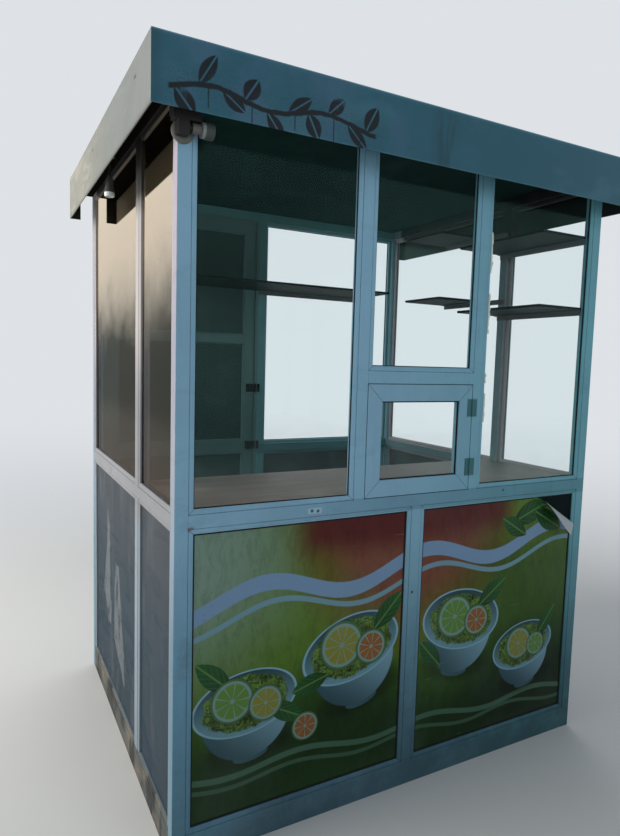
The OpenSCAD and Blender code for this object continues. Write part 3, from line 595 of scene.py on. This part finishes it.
def printed_film(name):
    """Printed sheet: soft ground, swinging bands, bowls of greens, leaves and slices of fruit."""
    f = Finish(name)
    drift = f.noise(2.2, 3, 0.5)
    x, z = f.x, f.z
    tone = f.mix((z + drift * 0.3).above(0.40, 0.95), rgb(66, 100, 26), rgb(84, 112, 36))
    mint = ((x + 0.82) * (x + 0.82) + (z - 0.92) * (z - 0.92)) ** 0.5 + drift * 0.15
    tone = f.mix(mint.above(0.62, 0.14) * 0.95, tone, rgb(116, 140, 126))
    glow = (x * x + (z - 1.02) * (z - 1.02) * 0.8) ** 0.5 + drift * 0.12
    tone = f.mix(glow.above(0.60, 0.42), tone, rgb(92, 84, 30))
    tone = f.mix(glow.above(0.46, 0.32), tone, rgb(112, 66, 50))
    red = f.within(x, -0.430, 0.440, 0.06) * (z + drift * 0.06).above(0.86, 0.97)
    tone = f.mix(red * 0.92, tone, rgb(80, 24, 26))
    shore = z + ((x * 6.0 + 0.6).sine()) * 0.045 + drift * 0.16
    tone = f.mix(shore.above(0.62, 0.46), tone, rgb(42, 74, 22))
    tone = f.mix(shore.above(0.50, 0.34), tone, rgb(22, 50, 16))
    tone = f.mix(shore.above(0.26, 0.12) * 0.6, tone, rgb(36, 68, 32))
    right = x.above(0.12, 0.50)
    tone = f.dim(right * z.above(0.95, 0.70), tone, (0.45, 0.55, 0.70))
    blades = f.noise(24, 4, 0.7, f.mapped((1.6, 1, 0.6), (0, 0.6, 0)), 0.6).above(0.42, 0.66)
    tone = f.dim(blades * 0.45, tone, 0.55)
    for band in (
            (0.800, 0.05, 0.040, 0.62, 0.9, 0.024, rgb(112, 140, 168)),
            (0.742, 0.05, 0.036, 0.62, 0.5, 0.007, rgb(104, 140, 152)),
            (0.215, -0.03, 0.016, 0.52, 0.3, 0.008, rgb(66, 98, 78)),
            (0.180, -0.03, 0.014, 0.47, 1.1, 0.005, rgb(58, 88, 66))):
        tone = swell(f, tone, *band)
    for size in (
            (-0.610, 0.445, 0.175, 0.125, 0.10), (-0.235, 0.545, 0.190, 0.140, 0.22),
            (0.238, 0.560, 0.185, 0.140, -0.15), (0.560, 0.400, 0.160, 0.115, 0.12)):
        tone = bowl(f, tone, *size)
    for size in (
            (-0.715, 0.545, 0.16, 0.070, 2.4), (-0.475, 0.385, 0.15, 0.065, -0.5),
            (-0.095, 0.650, 0.17, 0.075, 0.8), (-0.390, 0.455, 0.14, 0.065, 3.4),
            (0.095, 0.455, 0.15, 0.065, 2.3), (0.378, 0.640, 0.17, 0.075, 0.6),
            (0.560, 0.930, 0.20, 0.090, 0.35), (0.660, 0.890, 0.17, 0.080, -0.5),
            (0.480, 0.880, 0.15, 0.070, 2.6), (0.680, 0.480, 0.15, 0.065, 0.9)):
        tone = leaf(f, tone, *size)
    for fruit in (
            (-0.655, 0.460, 0.070, 9, LIME), (-0.545, 0.430, 0.058, 8, LEMON),
            (-0.275, 0.560, 0.082, 10, LEMON), (-0.160, 0.535, 0.060, 9, ORANGE),
            (0.203, 0.575, 0.080, 10, LIME), (0.308, 0.545, 0.058, 8, ORANGE),
            (0.535, 0.410, 0.066, 9, LEMON), (0.628, 0.392, 0.048, 8, LIME),
            (-0.405, 0.318, 0.048, 8, ORANGE)):
        tone = fruit_slice(f, tone, *fruit)
    fade = f.noise(3.0, 5, 0.65, f.mapped((1, 1, 0.7), (0, 0.5, 0))).above(0.45, 0.75)
    tone = f.mix(fade * 0.10, tone, rgb(120, 140, 128))
    tone = f.dim(z.above(0.70, 0.10) * 0.5, tone, 0.60)
    scratch = f.noise(9, 3, 0.6, f.mapped((0.6, 0.6, 9.0), (0.1, 0.9, 0.2)), 0.3).above(0.70, 0.72)
    tone = f.mix(scratch * 0.25, tone, rgb(110, 126, 124))
    mud = (z + f.noise(6, 5, 0.7) * 0.16).above(0.22, 0.10)
    tone = f.mix(mud * 0.35, tone, rgb(70, 72, 58))
    specks = f.cells(70).above(0.12, 0.06) * f.noise(5, 3).above(0.55, 0.66)
    tone = f.mix(specks * 0.8, tone, rgb(18, 22, 16))
    ripple = f.bump(f.noise(4.5, 3, 0.5, f.mapped((1, 1, 0.45))), 0.0025, 0.4)
    rough = 0.34 + fade * 0.20 + mud * 0.3
    return f.out(f.skin(Base_Color=tone, Roughness=rough, Specular_IOR_Level=0.14,
                        Normal=f.bump(f.cells(48).above(0.05, 0.0), 0.0003, 0.3, ripple)))


def sprayed_fascia(name, colour, dark):
    """Slate sheet with a twig and ten leaves in black spray near its left end."""
    f = Finish(name)
    cloud, wipe, runs = sheet_weather(f)
    # Painted highlights: paler bands along the top and lower edges
    edge = f.z.above(FASCIA_TOP - 0.012, FASCIA_TOP - 0.002) \
        .high_of(f.z.above(FASCIA_LOW + 0.006, FASCIA_LOW))
    tone = f.mix(cloud.above(0.32, 0.70) * 0.55, colour, dark)
    tone = f.mix(wipe * 0.20, tone, paler(colour, 1.4, 0.02))
    tone = f.mix(runs * 0.18, tone, darker(dark, 0.5))
    tone = f.mix(edge * 0.35, tone, paler(colour, 1.6, 0.02))
    # Painted highlight: a bright line along the top edge
    rim = f.z.above(FASCIA_TOP - 0.0035, FASCIA_TOP - 0.0020)
    tone = f.mix(rim * 0.7, tone, rgb(120, 150, 160))
    patch = f.noise(4.0, 3, 0.5, f.mapped((1, 1, 1.6), (0, 0.4, 0), (0.8, 0, 0.3)))
    tone = f.mix(patch.above(0.52, 0.66) * 0.35, tone, rgb(72, 112, 126))
    washed = f.noise(5, 4, 0.6, f.mapped((1.4, 1, 1), (0, 0.3, 0), (0.2, 0, 0.9)))
    washed = washed.above(0.46, 0.62) * f.within(f.wall_x, -0.04, 0.66, 0.05)
    tone = f.mix(washed * 0.45, tone, rgb(66, 94, 120))
    tone = f.dim(f.wall_x.above(-0.055, -0.085) * 0.6, tone, 0.62)
    stain = f.within(f.wall_x, 0.780, 0.860, 0.03) \
        * f.noise(9, 5, 0.65, f.mapped((3, 1, 0.5))).above(0.36, 0.6)
    tone = f.dim(stain * 0.8, tone, 0.55)
    wobble = (f.noise(34, 3, 0.6) - 0.5) * 0.010
    x, z = f.wall_x + wobble, f.z + wobble

    def twig(place, sine=math.sin):
        """Height of the twig at a place along the front."""
        return sine(place * 19.0 + 0.4) * 0.014 + 2.152
    line = abs(z - twig(x, Value.sine))
    paint = line.above(0.0092, 0.0044) * f.within(x, -0.050, 0.560, 0.004)
    for i in range(10):
        stalk = -0.036 + i * 0.062
        up = 1 if i % 2 else -1
        spread = 0.85 + 0.25 * math.sin(i * 2.3)
        length, width = 0.084 + 0.012 * math.sin(i * 1.7), 0.045 + 0.006 * math.cos(i * 2.1)
        cx = stalk + math.cos(spread) * length / 2
        cz = twig(stalk) + up * math.sin(spread) * length / 2
        u, v, inside = leaf_shape(f, cx + WALL_X, cz, length, width, up * spread)
        blade = (inside + wobble * 12).above(-0.04, 0.16) * (v + wobble * 6).above(0.05, 0.15)
        paint = paint.high_of(blade)
    for cx, foot in ((0.052, 2.112), (0.171, 2.098), (0.296, 2.104), (0.417, 2.092),
                     (0.505, 2.101)):
        drip = f.within(f.wall_x, cx - 0.0018, cx + 0.0018, 0.0014)
        paint = paint.high_of(drip * f.within(f.z, foot, twig(cx), 0.004) * 0.9)
    haze = f.noise(240, 2, 0.5).above(0.48, 0.62) * line.above(0.085, 0.010) \
        * f.within(x, -0.070, 0.590, 0.04)
    paint = (paint * f.noise(13, 5, 0.7).above(0.22, 0.44)).high_of(haze * 0.30)
    tone = f.mix(paint * 0.96, tone, rgb(10, 14, 18))
    shine = 0.40 + wipe * 0.15 + cloud * 0.10 + paint * 0.12
    waves = f.bump(f.noise(2.2, 2, 0.4), 0.005, 0.6)
    return f.out(f.skin(Base_Color=tone, Roughness=shine, Specular_IOR_Level=0.25,
                        Normal=f.bump(paint, 0.0002, 0.3, waves)))


def dress(names, finish):
    """Gives the named nodes a finish."""
    for name in names.split():
        for slot in nodes[name].material_slots:
            slot.material = finish
    return finish


# The coat is white with a hint of blue, drawn here mid blue-grey, partly a painted cool shade; the
# colours given for the outermost faces are painted light and shade
COAT_WITH_COOL_SHADE = rgb(130, 168, 190)
dress("front_left_post front_right_post rear_left_post rear_right_post front_rails rear_rails"
      " front_mullions door_jamb front_beads",
      powder_coat("Powder coat", rgb(130, 170, 192),
                  sides=(rgb(126, 146, 162), rgb(166, 158, 168)), marks=front_marks))
# The same coat on the side walls, drawn grey, with painted light, warmer above, and cooler painted
# shade below
dress("left_rails right_rails left_mullions right_mullions left_beads right_beads",
      powder_coat("Powder coat of the sides", rgb(138, 139, 142), grime=1.2, mud=0.3,
                  low=(0.80, 0.80, 0.80), marks=side_painted_light_and_dirt, inner=(0.42, 0.72, 0.80)))
dress("serving_sash", powder_coat("Powder coat of the sash", COAT_WITH_COOL_SHADE, grime=0.9, marks=sash_marks))
dress("door_stiles door_rails door_beads door_stop",
      powder_coat("Powder coat of the door", COAT_WITH_COOL_SHADE, grime=0.9, inner=(0.40, 0.46, 0.33), deep=0.0220))
dress("rear_beads", powder_coat("Powder coat of the rear beads", COAT_WITH_COOL_SHADE, grime=0.9, deep=0.0220))
# Painted reflection: green-grey tones mirrored by the front, right and rear panes
dress("front_glass right_glass rear_glass sash_glass",
      pane("Pane", haze=0.8, clear=(0.98, 1.0, 1.0), base_share=0.006, grazing=0.80, power=5.0,
           tones=((0.0, (0.60, 0.86, 0.80)), (1.0, (0.40, 0.86, 0.76)))))
# Painted reflection: dark ground low, pale yellowish sky high, tinted yellowish
dress("left_glass",
      pane("Left pane", haze=0.6, clear=(0.77, 0.76, 0.76), base_share=0.008, grazing=7.0, power=6.0,
           tones=((0.04, (0.36, 0.29, 0.28)), (0.36, (0.20, 0.21, 0.21)), (0.54, (0.38, 0.37, 0.34)),
                  (0.74, (0.84, 0.72, 0.60)), (1.0, (1.0, 0.90, 0.72))),
           sheen=(1.0, 0.90, 0.76), low=0.10))
# The front fascia drawn slate and the side ones grey: partly their own colours, partly painted shade
# on the front and painted light on the sides
dress("front_fascia", sprayed_fascia("Slate fascia", rgb(43, 89, 104), rgb(35, 78, 91)))
dress("left_fascia right_fascia",
      sheet_metal("Grey fascia", rgb(136, 137, 131), rgb(110, 112, 108), smears=0.35, rough=0.5,
                  wave=0.003, gloss=0.25, marks=fascia_marks))
dress("left_panels right_panels rear_panel",
      sheet_metal("Grey board", rgb(58, 63, 68), rgb(48, 55, 62), smears=0.35, rough=0.5, wave=0.002,
                  gloss=0.25, marks=film_residue))
dress("door_boards", sheet_metal("Dark door board", rgb(42, 71, 66), rgb(32, 55, 51), smears=0.5,
                                 rough=0.5, wave=0.002, grain=0.02))
# The board drawn near black: partly its own dark colour, partly painted shade
dress("front_panels", sheet_metal("Board behind the film", rgb(15, 27, 29), rgb(10, 19, 21),
                                  smears=0.25, rough=0.7, wave=0.001, gloss=0.04, marks=pale_back))
dress("roof_sheet", sheet_metal("Galvanised roof", rgb(150, 152, 152), rgb(112, 112, 108),
                                metallic=0.6, rough=0.45, wave=0.001, marks=roof_marks))
# Painted shade: the ceiling and soffit ply drawn very dark
dress("ceiling_board soffit_board",
      sheet_metal("Ply with painted shade", rgb(29, 55, 51), rgb(20, 39, 36), smears=0.3, rough=0.9, wave=0.001,
                  gloss=0.02, marks=overhang_shade))
dress("shelf_angles", sheet_metal("Mill angle", rgb(96, 100, 102), rgb(70, 74, 76), smears=0.3,
                                  metallic=0.4, rough=0.5, wave=0.0003))
dress("corner_lamp", sheet_metal("Corner lamp plastic", rgb(98, 98, 92), rgb(74, 74, 70), smears=0.3,
                                 rough=0.5, wave=0.0004, marks=corner_lamp_parts))
dress("side_lamp", sheet_metal("Side lamp plastic", rgb(96, 96, 92), rgb(70, 70, 66), smears=0.3,
                               rough=0.5, wave=0.0004, marks=side_lamp_parts))
dress("roof_purlins", wood("Sawn timber", rgb(150, 122, 88), rgb(104, 82, 58)))
dress("roof_bearers floor_joists counter_battens",
      wood("Sawn timber, front to back", rgb(150, 122, 88), rgb(104, 82, 58), axis=1))
dress("lamp_block", wood("Dark wooden pad", rgb(31, 26, 22), rgb(13, 11, 10), scale=2.0, wear=0.08))
dress("floor_deck", wood("Worn deck", rgb(112, 98, 80), rgb(74, 63, 50), scale=0.6))
dress("counter_top", wood("Counter board", rgb(140, 122, 112), rgb(106, 92, 86), scale=0.7,
                          coat=0.45, marks=counter_shade))
dress("shelves", wood("Dark shelf", rgb(24, 34, 36), rgb(14, 21, 23), axis=1, scale=0.8, wear=0.06,
                      gloss=0.08))
rubber = dress("sash_gasket", sheet_metal("Black rubber", rgb(16, 18, 19), rgb(8, 9, 10),
                                          smears=0.2, rough=0.7, wave=0.0002))
steel = dress("sash_hinges door_hinges hinge_pins",
              sheet_metal("Dull hinge steel", rgb(62, 108, 112), rgb(38, 72, 78), smears=0.3,
                          metallic=0.15, rough=0.45, wave=0.0003))
black = dress("door_locks lock_keeps",
              sheet_metal("Black lock case", rgb(14, 16, 17), rgb(8, 9, 10), smears=0.15, rough=0.55,
                          wave=0.0002, gloss=0.15))
zinc = sheet_metal("Zinc", rgb(150, 152, 152), rgb(96, 92, 86), metallic=0.6, rough=0.45,
                   wave=0.0002)
sealant = sheet_metal("Old sealant", rgb(200, 208, 194), rgb(168, 178, 164), smears=0.3, rough=0.6,
                      wave=0.0003)
print_skin = printed_film("Printed film")
film_back = sheet_metal("Back of the film", rgb(166, 172, 175), rgb(136, 143, 147), smears=0.3,
                        rough=0.45, wave=0.001)


# Modelling
def alone(*pieces):
    """Selects these pieces and nothing else; the first one is active."""
    bpy.ops.object.select_all(action="DESELECT")
    for piece in pieces:
        piece.select_set(True)
    bpy.context.view_layer.objects.active = pieces[0]


def start(kind, name, **size):
    """Adds a primitive."""
    getattr(bpy.ops.mesh, f"primitive_{kind}_add")(**size)
    piece = bpy.context.object
    piece.name = piece.data.name = name
    return piece


@contextmanager
def editing(piece, action="DESELECT"):
    """Edit mode, in which all starts unselected or selected; leaves it again at the end."""
    alone(piece)
    bpy.ops.object.mode_set(mode="EDIT")
    bpy.ops.mesh.select_all(action=action)
    yield
    bpy.ops.object.mode_set(mode="OBJECT")


def pick(piece, test, kind="verts"):
    """Selects the vertices, edges or faces of the piece that pass a test, and nothing else."""
    mode = {"verts": "VERT", "edges": "EDGE", "faces": "FACE"}[kind]
    bpy.ops.mesh.select_mode(type=mode)
    bpy.ops.mesh.select_all(action="DESELECT")
    mesh = bmesh.from_edit_mesh(piece.data)
    for element in getattr(mesh, kind):
        if test(element):
            element.select_set(True)
    mesh.select_flush_mode()
    bmesh.update_edit_mesh(piece.data)


def settle(piece, matrix):
    """Puts a piece in its place, and the place into its mesh."""
    piece.matrix_world = matrix
    alone(piece)
    bpy.ops.object.transform_apply(location=True, rotation=True, scale=True)


def thicken(piece, **settings):
    """Gives a sheet its thickness."""
    modifier = piece.modifiers.new("thickness", "SOLIDIFY")
    for name, value in settings.items():
        setattr(modifier, name, value)
    alone(piece)
    bpy.ops.object.modifier_apply(modifier=modifier.name)


def outwards(piece):
    """Joins doubled points and turns all faces outwards."""
    with editing(piece, "SELECT"):
        bpy.ops.mesh.remove_doubles(threshold=TINY)
        bpy.ops.mesh.normals_make_consistent(inside=False)


def finish_piece(piece, body, slot, *finishes):
    """Gives the piece its finishes and its body; slot is not used."""
    for finish in finishes:
        piece.data.materials.append(finish)
    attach(piece, body)


# Each wall's own frame: x along the wall, y inwards, z up
FRONT = Matrix.Translation((WALL_X, WALL_Y, 0))
REAR = Matrix.Translation((WALL_X, WALL_Y + WALL_D, 0)) @ Matrix.Scale(-1, 4, (0, 1, 0))
TINY = 0.00001


def upright(x0, x1, y, z0, z1):
    """The matrix that makes a unit plane an upright rectangle in a wall."""
    return Matrix.Translation(((x0 + x1) / 2, y, (z0 + z1) / 2)) \
        @ Matrix.Rotation(math.pi / 2, 4, "X") @ Matrix.Diagonal((x1 - x0, z1 - z0, 1, 1))


def seal(name, wall, opening, margin, width, y0, y1):
    """A thin rubber frame inside an opening of a wall, between the depths y0 and y1."""
    x0, x1, z0, z1 = opening
    piece = start("plane", name, size=1)
    settle(piece, upright(x0 + margin, x1 - margin, y0, z0 + margin, z1 - margin))
    with editing(piece, "SELECT"):
        bpy.ops.mesh.inset(thickness=width)
        bpy.ops.mesh.delete(type="FACE")
        bpy.ops.mesh.select_all(action="SELECT")
        bpy.ops.mesh.extrude_region_move(TRANSFORM_OT_translate={"value": (0, y1 - y0, 0)})
    settle(piece, wall)
    outwards(piece)
    finish_piece(piece, "kiosk", "gasket", rubber)


# Seals round every pane and board of the front and the rear, against the beads
REAR_BAYS = ((0.850, 1.640, *UPPER), (0.850, 1.640, *LOWER))
PANE_SEAL, BOARD_SEAL = 0.0028, 0.0052
SEAL_DEPTHS = (REBATE - 0.0026, REBATE - 0.0002)
for side, wall, bays in (("front", FRONT, FRONT_BAYS), ("rear", REAR, REAR_BAYS)):
    for i, bay in enumerate(bays):
        width = BOARD_SEAL if bay[2] == BOTTOM_RAIL else PANE_SEAL
        seal(f"{side}_seal_{i + 1}", wall, bay, BEAD, width, *SEAL_DEPTHS)

# Draught seal in the gap round the serving sash
seal("sash_seal", FRONT, SASH_OPENING, 0.0001, 0.0017, 0.0012, 0.0060)

# Torn strip of sealant left along the right edge of the second mullion, cut into parts of which
# some are gone
TAPE_X, TAPE_W, TAPE_Y, TAPE_Z0, TAPE_Z1 = 1.1216, 0.0076, 0.0013, 1.075, 1.985
TAPE_PARTS = 26
tape = start("grid", "torn_sealant", x_subdivisions=1, y_subdivisions=5 * TAPE_PARTS, size=1)
settle(tape, upright(TAPE_X - TAPE_W / 2, TAPE_X + TAPE_W / 2, TAPE_Y, TAPE_Z0, TAPE_Z1))
with editing(tape):
    pick(tape, lambda v: v.co.x > TAPE_X)
    bpy.ops.transform.vertex_random(offset=0.0055, seed=7)
    bpy.ops.transform.resize(value=(1, 0, 1), center_override=(TAPE_X, TAPE_Y, TAPE_Z0))
    gone = [rng.random() < 0.45 for i in range(TAPE_PARTS)]
    part_h = (TAPE_Z1 - TAPE_Z0) / TAPE_PARTS
    pick(tape, lambda e: gone[int((e.calc_center_median().z - TAPE_Z0) / part_h)], "faces")
    bpy.ops.mesh.delete(type="FACE")
thicken(tape, thickness=0.0004, offset=0.0)
settle(tape, FRONT)
outwards(tape)
finish_piece(tape, "kiosk", "gasket", sealant)


# Printed films on the front boards; the second one has come loose at its upper right corner
FILM_T = 0.0003
FILM_Y = REBATE - 0.0005
FILM_Z0, FILM_Z1 = 0.1025, 0.9875


def film(name, x0, x1):
    """A flat sheet between the beads of a lower bay, still without its thickness."""
    piece = start("plane", name, size=1)
    settle(piece, upright(x0, x1, FILM_Y, FILM_Z0, FILM_Z1))
    return piece


def hang(piece):
    """Gives a film its thickness and its two faces, and hangs it on the front."""
    piece.data.materials.append(print_skin)
    piece.data.materials.append(film_back)
    thicken(piece, thickness=FILM_T, offset=-1.0, material_offset=1, material_offset_rim=0)
    settle(piece, FRONT)
    outwards(piece)
    finish_piece(piece, "kiosk", "printed_board")


left_film = film("left_film", 0.0565, 0.8035)
with editing(left_film, "SELECT"):
    bpy.ops.mesh.subdivide(number_cuts=3)
hang(left_film)

# The loose corner: fold lines by their distance from the first one, and the turn at each
right_film = film("right_film", 0.8765, 1.6235)
FOLD_A, FOLD_B = Vector((1.416, 0, 0.979)), Vector((1.6235, 0, 0.852))
fold_along = (FOLD_B - FOLD_A).normalized()
fold_out = Vector((-fold_along.z, 0, fold_along.x))
CURL = ((0.0, 34), (0.010, 34), (0.020, 30), (0.030, 26), (0.044, 14), (0.064, 8), (0.088, -6))
with editing(right_film):
    for reach, _ in CURL:
        bpy.ops.mesh.select_all(action="SELECT")
        bpy.ops.mesh.bisect(plane_co=FOLD_A + fold_out * reach, plane_no=fold_out)
flat = [v.co.copy() for v in right_film.data.vertices]
for reach, angle in reversed(CURL):
    centre = FOLD_A + fold_out * reach
    centre.y = FILM_Y
    swing = Matrix.Translation(centre) @ Matrix.Rotation(math.radians(angle), 4, fold_along) \
        @ Matrix.Translation(-centre)
    for v in right_film.data.vertices:
        if (flat[v.index] - FOLD_A).dot(fold_out) > reach + TINY:
            v.co = swing @ v.co
hang(right_film)


# Screw heads, washers and key plates: discs, each with its middle in the surface that it sits on
def discs(name, wall, places, size, body="kiosk", slot="hinge_metal", finish=steel, sides=16,
          spin=3.1, turn=Matrix.Rotation(math.pi / 2, 4, "X")):
    """Discs, whose size is their radius and height, joined as one piece."""
    radius, height = size
    made = [start("cylinder", name, vertices=sides, radius=radius, depth=height)]
    for i in range(1, len(places)):
        disc = bpy.data.objects.new(f"{name}_{i}", made[0].data.copy())
        bpy.context.scene.collection.objects.link(disc)
        made.append(disc)
    for disc, place in zip(made, places):
        disc.matrix_world = wall @ Matrix.Translation(place) @ turn \
            @ Matrix.Rotation(rng.uniform(0, spin), 4, "Z")
    alone(*made)
    bpy.ops.object.transform_apply(location=True, rotation=True, scale=True)
    bpy.ops.object.join()
    outwards(made[0])
    bpy.ops.object.shade_smooth_by_angle(angle=0.6)
    finish_piece(made[0], body, slot, finish)


def grid(xs, y, zs, steps):
    """Places at each x, and at each z raised by each step."""
    return [(x, y, z + up) for x in xs for z in zs for up in steps]


# Depths of the hinge leaves and pin plates, lower ends of the door's hinges, and their screws
ON_LEAF, ON_PIN = -0.0019, -0.0039
DOOR_HINGES = (0.272, 1.1385, 1.915)
DOOR_SCREW = (0.0036, 0.0016)
discs("waist_screws", FRONT, [(0.4333, 0, 1.0226), (0.4546, 0, 1.0207), (1.2374, 0, 1.0296)],
      (0.0050, 0.0024))
discs("sash_hinge_screws", FRONT,
      grid((1.0525, 1.0775), ON_LEAF, (1.096, 1.306), (0.012, 0.0305, 0.049)), (0.0032, 0.0014))
discs("hinge_pin_screws", REAR, grid((0.016, 0.028), ON_PIN, DOOR_HINGES, (0.011, 0.033)),
      DOOR_SCREW)
discs("door_hinge_screws", REAR, grid((0.057, 0.069), ON_LEAF, DOOR_HINGES, (0.056, 0.079)),
      DOOR_SCREW, "door")
discs("key_plates", REAR, [(0.777, 0.002, 1.042), (0.777, 0.002, 1.340)], (0.014, 0.0030), "door",
      "lock_black", black, sides=32, spin=0.0)

# Roof screws on washers, in rows across the sheet, which falls toward the rear
SHEET_TOP, SHEET_FALL, SHEET_Y, SHEET_L = 2.2545, 0.009, -0.089, 1.486
SCREW_LIFT = 0.0014
rows = [ROW_Y + ROW_STEP * row for row in range(3)]
washers = [(RIB_X + RIB_STEP * i, WALL_Y + y, SHEET_TOP - SHEET_FALL * (y - SHEET_Y) / SHEET_L)
           for i in range(1, 10) for y in rows]
roof_screws = [(x, y, z + SCREW_LIFT) for x, y, z in washers]
discs("roof_washers", Matrix(), washers, (0.0095, 0.0016), "kiosk", "gasket", rubber, sides=32,
      turn=Matrix())
discs("roof_screws", Matrix(), roof_screws, (0.0060, 0.0034), finish=zinc, turn=Matrix())

# Camera, as fitted to the photo
YAW, PITCH, ROLL = (math.radians(a) for a in (28.226, -5.144, 1.611))
EYE = (-1.3108, -2.3080, 1.4812)
FOCAL_PX, PHOTO_H, SENSOR = 619.47, 836, 36.0
ahead = Vector((math.sin(YAW) * math.cos(PITCH), math.cos(YAW) * math.cos(PITCH), math.sin(PITCH)))
across = Vector((math.cos(YAW), -math.sin(YAW), 0))
upward = across.cross(ahead)
cam_x = across * math.cos(ROLL) + upward * math.sin(ROLL)
cam_y = upward * math.cos(ROLL) - across * math.sin(ROLL)
lens = bpy.data.cameras.new("camera")
lens.sensor_width = SENSOR
lens.lens = FOCAL_PX / PHOTO_H * SENSOR
camera = bpy.data.objects.new("camera", lens)
turn = Matrix((cam_x, cam_y, -ahead)).transposed().to_4x4()
camera.matrix_world = Matrix.Translation(EYE) @ turn
bpy.context.scene.collection.objects.link(camera)
bpy.context.scene.camera = camera


# Light, floor and backdrop
PALE = rgb(222, 226, 230)


def area_light(name, place, target, size, power, colour):
    lamp = bpy.data.lights.new(name, "AREA")
    lamp.shape = "RECTANGLE"
    lamp.size, lamp.size_y = size
    lamp.energy = power
    lamp.color = colour
    lit = bpy.data.objects.new(name, lamp)
    lit.location = place
    lit.rotation_euler = (Vector(target) - Vector(place)).to_track_quat("-Z", "Y").to_euler()
    lit.visible_camera = False
    lit.visible_glossy = False
    bpy.context.scene.collection.objects.link(lit)


area_light("left window", (-5.5, 1.2, 3.2), (0, 0, 1.1), (4.5, 3.5), 400, (1.0, 0.96, 0.91))
area_light("front window", (0.5, -6.0, 3.6), (0, 0, 1.0), (5.0, 3.0), 80, (0.80, 0.92, 1.0))
area_light("top window", (0.8, 2.0, 6.0), (0, 0, 1.0), (4.0, 4.0), 130, (0.96, 0.98, 1.0))

# The world shows the pale backdrop to the camera, mirrors and panes, and lights the object dimly
world = bpy.data.worlds.new("studio")
bpy.context.scene.world = world
world.use_nodes = True
tree = world.node_tree
tree.nodes.clear()


def world_node(kind, *links, **values):
    """Adds a node of the world: links go to its sockets in turn, values to sockets by name."""
    made = tree.nodes.new("ShaderNode" + kind)
    for i, link in enumerate(links):
        tree.links.new(link, made.inputs[i])
    for name, value in values.items():
        made.inputs[name].default_value = value
    return made.outputs


ray = world_node("LightPath")
either = world_node("Math", ray["Is Camera Ray"], ray["Is Glossy Ray"])
seen = world_node("Math", either[0], ray["Is Transmission Ray"])
seen[0].node.use_clamp = True
light = world_node("Background", Color=(0.78, 0.88, 1.0, 1.0), Strength=0.28)
backdrop = world_node("Background", Color=(*PALE, 1.0))
choice = world_node("MixShader", seen[0], light[0], backdrop[0])
world_node("OutputWorld", choice[0])

# The floor turns into the backdrop with the distance
floor = start("circle", "floor", vertices=96, radius=40, fill_type="NGON")
f = Finish("Pale floor")
reach = (f.x * f.x + f.y * f.y) ** 0.5
floor_tone = f.mix(f.noise(1.2, 5, 0.6) * 0.25, rgb(204, 204, 202), rgb(190, 190, 188))
matt = f.skin(Base_Color=floor_tone, Roughness=0.9)
glow = f.node("Emission", None, {"Color": PALE, "Strength": 1.0})
ray = f.node("LightPath", None, None, out="Is Camera Ray")
far = (1.0 / reach).above(0.46, 0.06)
floor.data.materials.append(f.out(f.node("MixShader", None, {0: far, 1: matt, 2: glow})))

bpy.context.scene.view_settings.view_transform = "Standard"
